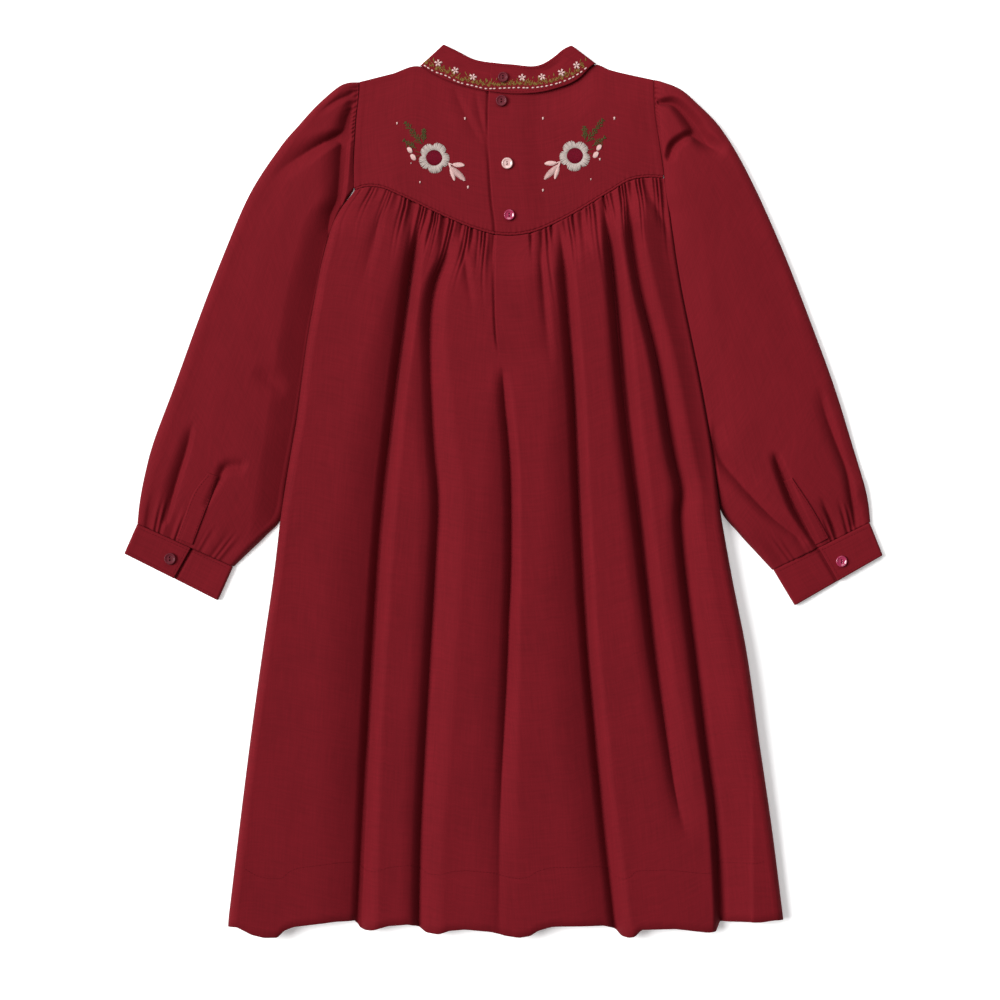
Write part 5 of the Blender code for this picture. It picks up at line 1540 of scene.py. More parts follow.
def collar_stations():
    stations = []

    def back(x_low, x_high, z):
        low = float(along(NECK_SEAM, "x", "y", x_low)) + SEAM_GAP / 2.0
        high = float(along(COLLAR_TOP, "x", "y", x_high))
        stations.append(((x_low, low, z), (x_high, high, z), (0, 0, 1)))

    def turn_at(corner, z, look, out):
        base_x, base_y, top_x, top_y = corner
        stations.append(((base_x + out, base_y + 0.5, z), (top_x + out * 0.6, top_y, z), look))

    lap_low, lap_high = -13.4, -11.6
    for step in np.linspace(0.0, 1.0, 110)[:-1]:
        back(mix(lap_low, 78.2, step), mix(lap_high, 58.2, step), COLLAR_HEIGHT)
    for turn in np.radians(np.linspace(72.0, -72.0, 9)):
        half = COLLAR_HEIGHT / 2.0
        look = (math.cos(turn), 0.25 * math.cos(turn), math.sin(turn))
        turn_at(COLLAR_RIGHT, half + half * math.sin(turn), look, COLLAR_ROLL * math.cos(turn))
    for low, high in zip(front_curve(FRONT_NECK, 65), front_curve(FRONT_COLLAR_TOP, 65)):
        inward = np.array(FRONT_NECK_MIDDLE) - low
        low = low + inward / np.linalg.norm(inward) * SEAM_GAP * 1.6
        stations.append(((*low, 0.0), (*high, 0.0), (0, 0, -1)))
    for turn in np.radians(np.linspace(-72.0, 72.0, 9)):
        half = COLLAR_UNDER_HEIGHT / 2.0
        look = (-math.cos(turn), 0.25 * math.cos(turn), math.sin(turn))
        turn_at(COLLAR_LEFT, half + half * math.sin(turn), look, -COLLAR_ROLL * math.cos(turn))
    for step in np.linspace(0.0, 1.0, 80):
        back(mix(-72.2, -15.5, step), mix(-52.8, -13.5, step), COLLAR_UNDER_HEIGHT)
    for reach in np.linspace(0.1, 1.0, 12):
        back(lap_low + UNDERLAP * reach, lap_high + UNDERLAP * reach, COLLAR_UNDER_HEIGHT)
    return stations


COLLAR_DENTS = (
    (
        Station(18, 374, 0.0, 6, 5),
        Station(28, 370, 1.9, 9, 7),
        Station(38, 370, 2.1, 9, 8),
        Station(47, 376, 1.0, 7, 6),
        Station(53, 384, 0.0, 5, 5),
    ),
    (
        Station(-44, 380, 0.0, 6, 6),
        Station(-34, 374, 0.9, 8, 7),
        Station(-22, 370, 0.9, 8, 7),
        Station(-15, 369, 0.3, 6, 6),
    ),
)


def collar_bulge(points, share):
    """The band is soft: it dips on its right half, and its edges are thicker than its middle."""
    upper = points[..., 2] > COLLAR_UNDER_HEIGHT - 0.2
    dents = folds_depth(COLLAR_DENTS, points[..., 0], points[..., 1])
    edge = np.minimum(share, 1.0 - share)
    swell = 0.25 * smooth(edge / 0.08) - 0.12 * np.exp(-((edge - 0.1) / 0.03) ** 2)
    return (swell - dents) * upper


cuff_left = build_band("cuff_left_cloth", cuff_stations(CUFF_LEFT), CUFF_CLOTH, 26, cuff_bulge)
cuff_right = build_band("cuff_right_cloth", cuff_stations(CUFF_RIGHT), CUFF_CLOTH, 26, cuff_bulge)
collar = build_band("collar_cloth", collar_stations(), CLOTH, 24, collar_bulge)
finish_piece(cuff_left, "cuff_left")
finish_piece(cuff_right, "cuff_right")
finish_piece(collar, "collar_band")
print("band faces:", [len(piece.data.polygons) for piece in (cuff_left, cuff_right, collar)])

# %% [markdown]
# ## The hidden front
# The front lies flat under the back, from the shoulders to its own, slightly shorter hem. Only its
# hem can be seen, and only from a low side, so it is one plain sheet with a doubled hem.

# %% Front panel
FRONT_HEM = -366.0
SHOULDERS = (Seam(-127.4, 359.6), Seam(-73, 373.0), Seam(79, 374.0), Seam(131.8, 361.2))


def front_side(side, y, armhole_low, sign):
    skirt_side = along(SIDES, "y", side, y) + sign * (side_roll(y, side) + SEAM_GAP)
    armhole = along(ARMHOLES, "y", side, y)
    return mix(armhole, skirt_side, smooth((armhole_low - y) / 4.0))


def front_top(x):
    shoulder = np.where(
        x < 0.0,
        along(SHOULDERS[:2], "x", "y", x),
        along(SHOULDERS[2:], "x", "y", x),
    )
    neck = along(FRONT_NECK, "x", "y", x)
    in_neck = (x > FRONT_NECK[0].x) & (x < FRONT_NECK[-1].x)
    return np.where(in_neck, neck, shoulder)


def build_front():
    rows, columns = 120, 150
    share_x = np.linspace(0.0, 1.0, columns)[None, :]
    share_y = np.linspace(0.0, 1.0, rows)[:, None]
    y = np.broadcast_to(mix(350.0, FRONT_HEM, share_y), (rows, columns))
    for _ in range(10):
        left = front_side("left", y, 268.0, 1.0)
        right = front_side("right", y, 279.0, -1.0)
        x = mix(left, right, share_x)
        hem = FRONT_HEM - 5.0 * smooth(1.0 - np.abs(x) / 240.0)
        y = mix(front_top(x), hem, share_y)
    height = np.full(x.shape, CLOTH)
    above = y - FRONT_HEM
    height = height + 0.25 * smooth((HEM_DEPTH - above) / 3.0)
    points = np.stack([x, y, height], axis=2)
    inner = points.copy()
    inner[..., 2] = 0.0
    wall = Wall()
    wall.skin(wall.points(points, inner), flat_grid(points))
    return wall.build("front_panel_cloth", RED_CLOTH)


front = finish_piece(build_front(), "front_panel")
print("front faces:", len(front.data.polygons))

# %% [markdown]
# ## Buttons
# Each button is turned: a round rim, a dished face and two holes, with a few turns of red thread
# between them. Three are dull wine, one is pearly pink and two are glossy magenta.
# Their swirl is a slow noise in the colour, and fine scuffs vary the gloss.

# %% Button material
BUTTON_THICKNESS = 2.2
Button = namedtuple("Button", "name x y finish radius")
BUTTONS = (
    Button("button_collar", -1.3, 363.9, "wine", 4.6),
    Button("button_neck", -2.7, 343.3, "wine", 5.0),
    Button("button_yoke", 2.4, 287.9, "pearl_pink", 5.0),
    Button("button_seam", 4.2, 242.5, "magenta", 4.8),
    Button("button_cuff_left", -294.4, -60.1, "wine", 5.2),
    Button("button_cuff_right", 296.7, -62.3, "magenta", 5.0),
)


def build_button_group():
    colour_kind, number_kind = "NodeSocketColor", "NodeSocketFloat"
    group, given, result = new_group(
        "Swirled resin",
        (
            ("Resin Colour", colour_kind, (0.3, 0.01, 0.05, 1.0)),
            ("Swirl Colour", colour_kind, (0.5, 0.1, 0.15, 1.0)),
            ("Swirl Amount", number_kind, 0.5),
            ("Polish", number_kind, 0.8),
        ),
        (("Colour", colour_kind), ("Roughness", number_kind), ("Height", number_kind)),
    )
    place = add_node(group, "ShaderNodeTexCoord")
    swirl = noise(group, place.outputs["Object"], 260.0, 3.0, (1.0, 2.2, 1.0))
    scuff = noise(group, place.outputs["Object"], 1800.0, 3.0, (1.0, 1.0, 1.0))
    amount = calculate(group, "MULTIPLY", swirl, given.outputs["Swirl Amount"])
    blend = add_node(group, "ShaderNodeMix", data_type="RGBA")
    group.links.new(amount, blend.inputs["Factor"])
    group.links.new(given.outputs["Resin Colour"], blend.inputs[6])
    group.links.new(given.outputs["Swirl Colour"], blend.inputs[7])
    group.links.new(blend.outputs[2], result.inputs["Colour"])
    dull = calculate(group, "SUBTRACT", 1.0, given.outputs["Polish"])
    rough = calculate(group, "ADD", dull, calculate(group, "MULTIPLY", scuff, 0.12))
    group.links.new(rough, result.inputs["Roughness"])
    group.links.new(scuff, result.inputs["Height"])
    return group


BUTTON_GROUP = build_button_group()


def button_material(name, colour, swirl_colour, swirl, polish, coat):
    material = bpy.data.materials.new(name)
    material.use_nodes = True
    tree = material.node_tree
    shader = tree.nodes["Principled BSDF"]
    resin = add_node(tree, "ShaderNodeGroup", node_tree=BUTTON_GROUP)
    resin.inputs["Resin Colour"].default_value = (*colour, 1.0)
    resin.inputs["Swirl Colour"].default_value = (*swirl_colour, 1.0)
    resin.inputs["Swirl Amount"].default_value = swirl
    resin.inputs["Polish"].default_value = polish
    tree.links.new(resin.outputs["Colour"], shader.inputs["Base Color"])
    tree.links.new(resin.outputs["Roughness"], shader.inputs["Roughness"])
    bump = add_node(tree, "ShaderNodeBump")
    bump.inputs["Strength"].default_value = 0.1
    bump.inputs["Distance"].default_value = 0.00005
    tree.links.new(resin.outputs["Height"], bump.inputs["Height"])
    tree.links.new(bump.outputs[0], shader.inputs["Normal"])
    shader.inputs["Coat Weight"].default_value = coat
    shader.inputs["Specular IOR Level"].default_value = 0.2 + 0.4 * coat
    shader.inputs["Coat Roughness"].default_value = 0.12
    return material


BUTTON_FINISHES = {
    "wine": button_material("wine_button", (0.075, 0.0035, 0.009), (0.13, 0.006, 0.016), 0.5, 0.42, 0.06),
    "pearl_pink": button_material("pearl_pink_button", (0.46, 0.24, 0.23), (0.64, 0.49, 0.46), 0.9, 0.74, 0.7),
    "magenta": button_material("magenta_button", (0.21, 0.007, 0.036), (0.43, 0.028, 0.105), 0.7, 0.8, 0.8),
}
print("button finishes:", sorted(BUTTON_FINISHES))

# %% [markdown]
# The button's face is a height field on rings and spokes. The two holes are wells in that field,
# which keeps the mesh closed and needs no cutting.

# %% Button shapes
Turn = namedtuple("Turn", "reach rise")
BUTTON_PROFILE = (
    Turn(0.00, 0.70),
    Turn(0.40, 0.71),
    Turn(0.56, 0.74),
    Turn(0.70, 0.88),
    Turn(0.82, 1.0),
    Turn(0.91, 0.97),
    Turn(0.965, 0.84),
)
HOLE_AWAY = 0.24
HOLE_RADIUS = 0.14


def highest_around(surface, x, y, reach):
    turns = np.linspace(0.0, 2.0 * math.pi, 25)[:-1]
    around = np.concatenate([[0.0], np.repeat((0.35, 0.7, 1.0), len(turns))]) * reach
    angle = np.concatenate([[0.0], np.tile(turns, 3)])
    return float(heights(surface, x + around * np.cos(angle), y + around * np.sin(angle)).max())


def build_button(button, surface):
    under = highest_around(surface, button.x, button.y, button.radius) + SEAM_GAP
    rings, sides = 34, 64
    turn = np.linspace(0.0, 2.0 * math.pi, sides + 1)[None, :-1]
    reach = np.concatenate([np.linspace(0.01, 0.5, rings), np.linspace(0.515, 0.965, 18)])[:, None]
    rise = along(BUTTON_PROFILE, "reach", "rise", reach)
    x, y = reach * np.cos(turn), reach * np.sin(turn)
    away = np.minimum(np.hypot(x, y - HOLE_AWAY), np.hypot(x, y + HOLE_AWAY))
    rise = rise - 0.6 * smooth((HOLE_RADIUS - away) / 0.045 + 0.5)
    edge_reach = np.array([0.992, 1.0, 0.985, 0.93, 0.8, 0.4, 0.01])[:, None] + 0.0 * turn
    edge_rise = np.array([0.68, 0.45, 0.22, 0.06, 0.0, 0.0, 0.0])[:, None] + 0.0 * turn
    x = np.concatenate([x, edge_reach * np.cos(turn)]) * button.radius + button.x
    y = np.concatenate([y, edge_reach * np.sin(turn)]) * button.radius + button.y
    z = np.concatenate([rise, edge_rise]) * BUTTON_THICKNESS + under
    points = np.stack([x, y, z], axis=-1)
    rows = len(points)
    numbers = np.arange(rows * sides).reshape(rows, sides)
    numbers = np.concatenate([numbers, numbers[:, :1]], axis=1)
    quads = np.stack([numbers[:-1, :-1], numbers[1:, :-1], numbers[1:, 1:], numbers[:-1, 1:]], axis=-1)
    quads = quads.reshape(-1, 4)
    flat = points.reshape(-1, 3)[quads][..., :2]
    finish = BUTTON_FINISHES[button.finish]
    made = mesh_object(f"{button.name}_resin", points.reshape(-1, 3), quads, flat, finish)
    finish_piece(made, button.name)
    return under


button_ground = top_of(skirt, yoke_right, collar, cuff_left, cuff_right)
BUTTON_BASES = {button.name: build_button(button, button_ground) for button in BUTTONS}
print("button bases in mm:", {name: round(base, 2) for name, base in BUTTON_BASES.items()})

# %% [markdown]
# ## Thread
# Embroidery floss and sewing thread are twisted, so each stitch has a fine slanting rib along it and
# a soft gloss. One node group makes the twist from the thread's own flat coordinates.
# A stitch is a short thread that comes up out of the cloth, crosses it and dips in again.

# %% Thread material and stitches


def build_thread_group():
    colour_kind, number_kind, place_kind = "NodeSocketColor", "NodeSocketFloat", "NodeSocketVector"
    group, given, result = new_group(
        "Twisted thread",
        (
            ("Thread Colour", colour_kind, (0.6, 0.5, 0.45, 1.0)),
            ("Flat Place", place_kind, (0.0, 0.0, 0.0)),
            ("Unevenness", number_kind, 0.4),
        ),
        (("Colour", colour_kind), ("Roughness", number_kind), ("Height", number_kind)),
    )
    where = given.outputs["Flat Place"]
    twist = add_node(group, "ShaderNodeTexWave", wave_type="BANDS", bands_direction="DIAGONAL")
    twist.inputs["Scale"].default_value = 900.0
    group.links.new(where, twist.inputs["Vector"])
    place = add_node(group, "ShaderNodeTexCoord")
    dye = noise(group, place.outputs["Object"], 420.0, 3.0, (1.0, 1.0, 1.0))
    change = calculate(group, "SUBTRACT", dye, 0.5)
    change = calculate(group, "MULTIPLY", change, given.outputs["Unevenness"])
    light = calculate(group, "MULTIPLY", twist.outputs["Fac"], 0.22)
    light = calculate(group, "ADD", calculate(group, "ADD", change, light), 0.89)
    grey = add_node(group, "ShaderNodeCombineColor")
    for name in ("Red", "Green", "Blue"):
        group.links.new(light, grey.inputs[name])
    shade = add_node(group, "ShaderNodeMix", data_type="RGBA", blend_type="MULTIPLY")
    shade.inputs["Factor"].default_value = 1.0
    group.links.new(given.outputs["Thread Colour"], shade.inputs[6])
    group.links.new(grey.outputs[0], shade.inputs[7])
    group.links.new(shade.outputs[2], result.inputs["Colour"])
    rough = calculate(group, "ADD", calculate(group, "MULTIPLY", dye, 0.2), 0.42)
    group.links.new(rough, result.inputs["Roughness"])
    group.links.new(twist.outputs["Fac"], result.inputs["Height"])
    return group


THREAD_GROUP = build_thread_group()


def thread_material(name, colour, unevenness, gloss=0.3):
    material = bpy.data.materials.new(name)
    material.use_nodes = True
    tree = material.node_tree
    shader = tree.nodes["Principled BSDF"]
    where = add_node(tree, "ShaderNodeUVMap", uv_map="flat")
    thread = add_node(tree, "ShaderNodeGroup", node_tree=THREAD_GROUP)
    thread.inputs["Thread Colour"].default_value = (*colour, 1.0)
    thread.inputs["Unevenness"].default_value = unevenness
    tree.links.new(where.outputs[0], thread.inputs["Flat Place"])
    tree.links.new(thread.outputs["Colour"], shader.inputs["Base Color"])
    tree.links.new(thread.outputs["Roughness"], shader.inputs["Roughness"])
    bump = add_node(tree, "ShaderNodeBump")
    bump.inputs["Strength"].default_value = 0.4
    bump.inputs["Distance"].default_value = 0.00008
    tree.links.new(thread.outputs["Height"], bump.inputs["Height"])
    tree.links.new(bump.outputs[0], shader.inputs["Normal"])
    shader.inputs["Specular IOR Level"].default_value = gloss
    return material


THREADS = {
    "grey": thread_material("grey_floss", (0.375, 0.312, 0.283), 0.35),
    "pink": thread_material("pale_pink_floss", (0.54, 0.35, 0.33), 0.3),
    "wine": thread_material("wine_floss", (0.115, 0.0012, 0.0105), 0.6, 0.06),
    "green": thread_material("forest_green_floss", (0.050, 0.056, 0.016), 0.9, 0.1),
    "gold": thread_material("olive_gold_floss", (0.165, 0.098, 0.020), 0.9, 0.15),
    "red": thread_material("red_sewing_thread", (0.115, 0.0050, 0.0090), 0.4, 0.06),
}


def stitches(name, bars, surface, thread, steps=6, sides=6):
    """One mesh of stitches; a bar is its two ends, its radius and how much padding lies under it."""
    bars = np.array(bars, float)
    share = np.linspace(0.0, 1.0, steps)[None, :]
    x = mix(bars[:, 0:1], bars[:, 2:3], share)
    y = mix(bars[:, 1:2], bars[:, 3:4], share)
    rise = np.sin(np.pi * (0.06 + 0.88 * share)) ** 0.5
    ground = heights(surface, x, y)
    radius = bars[:, 4:5] * (0.30 + 0.70 * rise)
    z = ground + bars[:, 5:6] * rise + bars[:, 4:5] * (1.1 * rise - 0.55)
    length = np.hypot(bars[:, 2] - bars[:, 0], bars[:, 3] - bars[:, 1])[:, None] + 1e-6
    aside_x, aside_y = -(bars[:, 3:4] - bars[:, 1:2]) / length, (bars[:, 2:3] - bars[:, 0:1]) / length
    turn = np.linspace(0.0, 2.0 * math.pi, sides + 1)[None, None, :-1]
    points = np.stack([
        x[..., None] + aside_x[..., None] * radius[..., None] * np.cos(turn),
        y[..., None] + aside_y[..., None] * radius[..., None] * np.cos(turn),
        z[..., None] + 0.8 * radius[..., None] * np.sin(turn),
    ], axis=-1)
    count = len(bars)
    numbers = np.arange(count * steps * sides).reshape(count, steps, sides)
    numbers = np.concatenate([numbers, numbers[..., :1]], axis=2)
    quads = np.stack([
        numbers[:, :-1, :-1], numbers[:, :-1, 1:], numbers[:, 1:, 1:], numbers[:, 1:, :-1],
    ], axis=-1).reshape(-1, 4)[:, ::-1]
    down = np.broadcast_to((share * length)[..., None], (count, steps, sides + 1))
    round_it = np.broadcast_to(np.arange(sides + 1) / sides, (count, steps, sides + 1))
    round_it = round_it * bars[:, 4][:, None, None] * 6.0
    flat = np.stack([round_it, down], axis=-1)
    places = np.stack([flat[:, :-1, :-1], flat[:, :-1, 1:], flat[:, 1:, 1:], flat[:, 1:, :-1]], axis=-2)
    made = mesh_object(name, points.reshape(-1, 3), quads, places.reshape(-1, 4, 2)[:, ::-1], THREADS[thread])
    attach(made, "root")
    return made


def scatter(number, seed):
    """A steady number from -1 to 1 that differs from stitch to stitch, as handwork does."""
    return math.sin(number * 12.9898 + seed * 78.233) * math.cos(number * 4.1 + seed * 3.7)


print("threads:", sorted(THREADS))

# %% [markdown]
# ## The embroidered flowers
# Each flower is five scallops of grey satin stitch laid side by side around a wine-red centre. The
# stitches of a scallop all run outwards, and they are shorter where two scallops meet.
# The two flowers face each other across the buttons, so one list of parts serves both sides, with
# its own middle, turn and mirror for each.

# %% Flowers
Spray = namedtuple("Spray", "name x y mirror turn")
SPRAYS = (
    Spray("left", -62.0, 293.0, 1.0, 0.0),
    Spray("right", 62.0, 294.8, -1.0, -0.02),
)
SPRAY_PIECES = ("flower_petals", "flower_centre", "leaves_and_dots", "green_sprigs")
PETALS = 5
PETAL_REACH = 13.6
PETAL_DIP = 3.2
CENTRE_RADIUS = 7.4
yoke_ground = top_of(yoke_left, yoke_right)


def on_spray(spray, away_x, away_y):
    """A place on the cloth, given from the flower's middle with X towards the buttons."""
    turn_x = away_x * math.cos(spray.turn) - away_y * math.sin(spray.turn)
    turn_y = away_x * math.sin(spray.turn) + away_y * math.cos(spray.turn)
    return spray.x + turn_x * spray.mirror, spray.y + turn_y


def bar_on(spray, start, end, radius, lift=0.0):
    return (*on_spray(spray, *start), *on_spray(spray, *end), radius, lift)


def petal_edge(angle):
    lobe = abs(math.sin((angle - 0.42) * PETALS / 2.0))
    return PETAL_REACH - PETAL_DIP * (1.0 - lobe) ** 2.2


def petal_bars(spray, count=132):
    bars = []
    for number in range(count):
        angle = 2.0 * math.pi * number / count
        inner = CENTRE_RADIUS - 0.4 + 0.25 * scatter(number, 1.0)
        outer = petal_edge(angle) + 0.3 * scatter(number, 2.0)
        lean = angle + 0.03 * scatter(number, 3.0)
        start = (inner * math.cos(angle), inner * math.sin(angle))
        end = (outer * math.cos(lean), outer * math.sin(lean))
        bars.append(bar_on(spray, start, end, 0.40, 0.45 + 0.15 * scatter(number, 4.0)))
    return bars


def centre_bars(spray, count=27):
    bars = []
    for number in range(count):
        across = mix(-1.0, 1.0, (number + 0.5) / count) * (CENTRE_RADIUS - 0.3)
        reach = math.sqrt(max((CENTRE_RADIUS - 0.2) ** 2 - across ** 2, 0.4))
        tilt = 0.12 * reach
        half = reach + 0.2 * scatter(number, 5.0)
        bars.append(bar_on(spray, (across - tilt, half), (across + tilt, -half), 0.34, 0.25))
    return bars


for spray in SPRAYS:
    stitches(f"flower_petals_{spray.name}", petal_bars(spray), yoke_ground, "grey")
    stitches(f"flower_centre_{spray.name}", centre_bars(spray), yoke_ground, "wine")
print("petal edge, in mm from the middle:", round(petal_edge(0.42), 2), "to", round(petal_edge(1.05), 2))

# %% [markdown]
# ## Leaves, berries and dots
# A leaf is satin stitch too: short stitches cross it at a slant, long where the leaf is broad.
# Berries are small pads of the same floss, and each dot is a knot of two crossing stitches.

# %% Leaves, berries and dots
Leaf = namedtuple("Leaf", "from_x from_y to_x to_y width")
LEAVES = (
    Leaf(16.6, -5.6, 26.6, -6.9, 4.4),
    Leaf(15.4, -8.0, 27.0, -20.4, 5.6),
    Leaf(14.6, -8.6, 17.9, -20.2, 3.7),
)
STEMS = (
    Leaf(12.6, -4.6, 17.2, -6.6, 0.0),
    Leaf(12.8, -4.8, 16.6, -10.4, 0.0),
    Leaf(12.8, -5.0, 15.2, -11.4, 0.0),
)
Dot = namedtuple("Dot", "x y size")
BERRIES = (Dot(-21.4, 6.8, 2.5), Dot(-18.4, 0.5, 2.7))
SMALL_DOTS = {
    "left": (
        Dot(-94.6, 323.4, 1.1), Dot(-34.8, 327.8, 1.25), Dot(-32.1, 267.1, 1.3),
        Dot(-74.4, 271.5, 1.0), Dot(-82.3, 288.2, 0.7),
    ),
    "right": (
        Dot(33.9, 327.8, 1.2), Dot(96.8, 327.8, 1.3), Dot(84.0, 291.7, 1.1),
        Dot(76.1, 274.1, 0.8), Dot(33.9, 264.4, 1.2),
    ),
}


def leaf_bars(spray, leaf, count=17):
    run = np.array([leaf.to_x - leaf.from_x, leaf.to_y - leaf.from_y])
    aside = np.array([-run[1], run[0]]) / np.hypot(*run)
    bars = []
    for number in range(count):
        share = (number + 0.5) / count
        half = leaf.width / 2.0 * math.sin(math.pi * min(1.0, 0.08 + 0.86 * share)) ** 0.8
        half = max(half, 0.35) + 0.12 * scatter(number, leaf.width)
        middle = np.array([leaf.from_x, leaf.from_y]) + run * share
        slant = run / np.hypot(*run) * half * 0.55
        bars.append(bar_on(spray, middle - aside * half - slant, middle + aside * half + slant, 0.42, 0.35))
    return bars


def stem_bars(spray):
    return [bar_on(spray, stem[:2], stem[2:4], 0.55, 0.3) for stem in STEMS]


def berry_bars(spray, dot):
    bars = []
    for number in range(7):
        across = mix(-1.0, 1.0, (number + 0.5) / 7.0) * dot.size * 0.85
        half = math.sqrt(max(dot.size ** 2 - across ** 2, 0.3)) * 1.05
        start = (dot.x + across * 0.9 - half * 0.35, dot.y + half)
        end = (dot.x + across * 0.9 + half * 0.35, dot.y - half)
        bars.append(bar_on(spray, start, end, 0.46, 0.5))
    return bars


def knot_bars(dot):
    size = dot.size
    return [
        (dot.x - size * 0.2, dot.y - size, dot.x + size * 0.3, dot.y + size, size * 0.55, 0.2),
        (dot.x + size * 0.5, dot.y - size * 0.7, dot.x - size * 0.5, dot.y + size * 0.8, size * 0.5, 0.4),
    ]


for spray in SPRAYS:
    bars = stem_bars(spray)
    for leaf in LEAVES:
        bars += leaf_bars(spray, leaf)
    for berry in BERRIES:
        bars += berry_bars(spray, berry)
    for dot in SMALL_DOTS[spray.name]:
        bars += knot_bars(dot)
    stitches(f"leaves_and_dots_{spray.name}", bars, yoke_ground, "pink")
print("leaves a side:", len(LEAVES), "dots:", sum(len(dots) for dots in SMALL_DOTS.values()))

# %% [markdown]
# ## Feathery green sprigs
# The green sprigs are stem stitch with short straight stitches leaving it in pairs, like a fern.
# Each sprig is grown from one line and a few numbers, with every stitch a little different.

# %% Green sprigs
Sprig = namedtuple("Sprig", "from_x from_y to_x to_y pairs branch")
SPRIGS = (
    Sprig(-11.0, 12.4, -26.0, 32.0, 8, 5.4),
    Sprig(-9.4, 13.4, -9.0, 26.0, 6, 4.6),
    Sprig(-15.4, 8.0, -27.6, 16.0, 5, 4.2),
)
LOOPS = (
    Leaf(-9.6, 12.0, -17.6, 14.4, 0.0),
    Leaf(-17.6, 14.4, -20.6, 10.6, 0.0),
    Leaf(-12.0, 4.4, -17.0, 6.0, 0.0),
    Leaf(-12.6, 2.2, -15.6, 1.0, 0.0),
    Leaf(-24.0, 12.6, -24.4, 8.6, 0.0),
)


def sprig_bars(spray, sprig, seed):
    start, end = np.array(sprig[:2]), np.array(sprig[2:4])
    run = (end - start) / np.hypot(*(end - start))
    aside = np.array([-run[1], run[0]])
    bars = []
    for number in range(sprig.pairs + 1):
        share, beyond = number / (sprig.pairs + 1), (number + 1.15) / (sprig.pairs + 1)
        here, there = mix(start, end, share), mix(start, end, min(beyond, 1.0))
        bars.append(bar_on(spray, here, there + aside * 0.3 * scatter(number, seed), 0.36, 0.1))
        if number == 0:
            continue
        length = sprig.branch * (1.0 - 0.45 * share) * (0.85 + 0.25 * scatter(number, seed + 1.0))
        for sign in (-1.0, 1.0):
            lean = 0.75 + 0.25 * scatter(number * 2.0 + sign, seed + 2.0)
            tip = here + aside * sign * length * lean + run * length * 0.8
            bars.append(bar_on(spray, here, tip, 0.30, 0.15))
            fork = mix(here, tip, 0.5)
            side_tip = fork + run * length * 0.5 + aside * sign * 0.4 * scatter(number, seed + 3.0)
            bars.append(bar_on(spray, fork, side_tip, 0.27, 0.2))
    return bars


for spray in SPRAYS:
    bars = [bar_on(spray, loop[:2], loop[2:4], 0.26, 0.1) for loop in LOOPS]
    for number, sprig in enumerate(SPRIGS):
        bars += sprig_bars(spray, sprig, 10.0 * number + spray.mirror)
    stitches(f"green_sprigs_{spray.name}", bars, yoke_ground, "green")
print("sprigs a side:", len(SPRIGS))

# %% [markdown]
# ## The collar's border
# A running stitch follows the collar's lower edge, and above it small five-pointed flowers stand
# among tufts of olive-gold stitches. The line is a curve a set way up the band. The flowers stand at
# their own places along it, and the tufts follow one another at an even pitch.

# %% Collar border
collar_ground = top_of(collar)
RUNNING_DASH = 2.5
RUNNING_PITCH = 4.15
FLOWERS_ON_COLLAR = (-58.4, -43.4, -27.6, 15.6, 33.2, 50.2, 63.6)
TUFT_PITCH = 4.6
TUFTS_ON_COLLAR = np.arange(-69.0, 73.0, TUFT_PITCH)
Line = namedtuple("Line", "x y")
RUNNING_LINE = (
    Line(-71.4, 375.0),
    Line(-62.0, 369.2),
    Line(-51.0, 365.2),
    Line(-42.2, 360.4),
    Line(-28.6, 356.8),
    Line(-16.0, 354.0),
    Line(-2.2, 354.2),
    Line(10.0, 354.6),
    Line(25.0, 354.6),
    Line(38.2, 356.4),
    Line(52.4, 360.4),
    Line(61.2, 364.4),
    Line(70.0, 370.4),
    Line(75.4, 375.2),
)


def running_bars():
    x = np.linspace(RUNNING_LINE[0].x, RUNNING_LINE[-1].x, 2400)
    y = along(RUNNING_LINE, "x", "y", x)
    run = np.concatenate([[0.0], np.cumsum(np.hypot(np.diff(x), np.diff(y)))])
    bars = []
    for number in range(int(run[-1] / RUNNING_PITCH)):
        begin = number * RUNNING_PITCH + 0.5 * scatter(number, 6.0)
        ends = np.array([begin, begin + RUNNING_DASH * (1.0 + 0.12 * scatter(number, 7.0))])
        at_x, at_y = np.interp(ends, run, x), np.interp(ends, run, y)
        bars.append((at_x[0], at_y[0], at_x[1], at_y[1], 0.68, 0.12))
    return bars


def collar_flower(x, number):
    y = float(along(RUNNING_LINE, "x", "y", x))
    y = y + 8.6 + 0.9 * scatter(number, 8.0)
    bars = []
    for petal in range(5):
        angle = math.pi / 2.0 + petal * 2.0 * math.pi / 5.0 + 0.35 * scatter(number, 9.0)
        length = 3.3 + 0.4 * scatter(number * 5 + petal, 10.0)
        for offset in (-0.16, 0.16):
            bars.append((
                x + 0.4 * math.cos(angle), y + 0.4 * math.sin(angle),
                x + length * math.cos(angle + offset), y + length * math.sin(angle + offset), 0.5, 0.35,
            ))
    return bars


def collar_tuft(x, number):
    y = float(along(RUNNING_LINE, "x", "y", x)) + 1.8
    bars = []
    for blade in range(11):
        angle = math.pi / 2.0 + 1.15 * scatter(number * 12 + blade, 11.0)
        length = 2.0 + 1.8 * abs(scatter(number * 12 + blade, 12.0))
        start_x = x + 3.0 * scatter(number * 12 + blade, 13.0)
        how_high = 0.55 + 0.45 * scatter(number, 15.0)
        start_y = y + 8.2 * abs(scatter(number * 12 + blade, 14.0)) * how_high
        end_x = start_x + length * math.cos(angle)
        end_y = start_y + length * math.sin(angle)
        bars.append((start_x, start_y, end_x, end_y, 0.3, 0.1))
    return bars


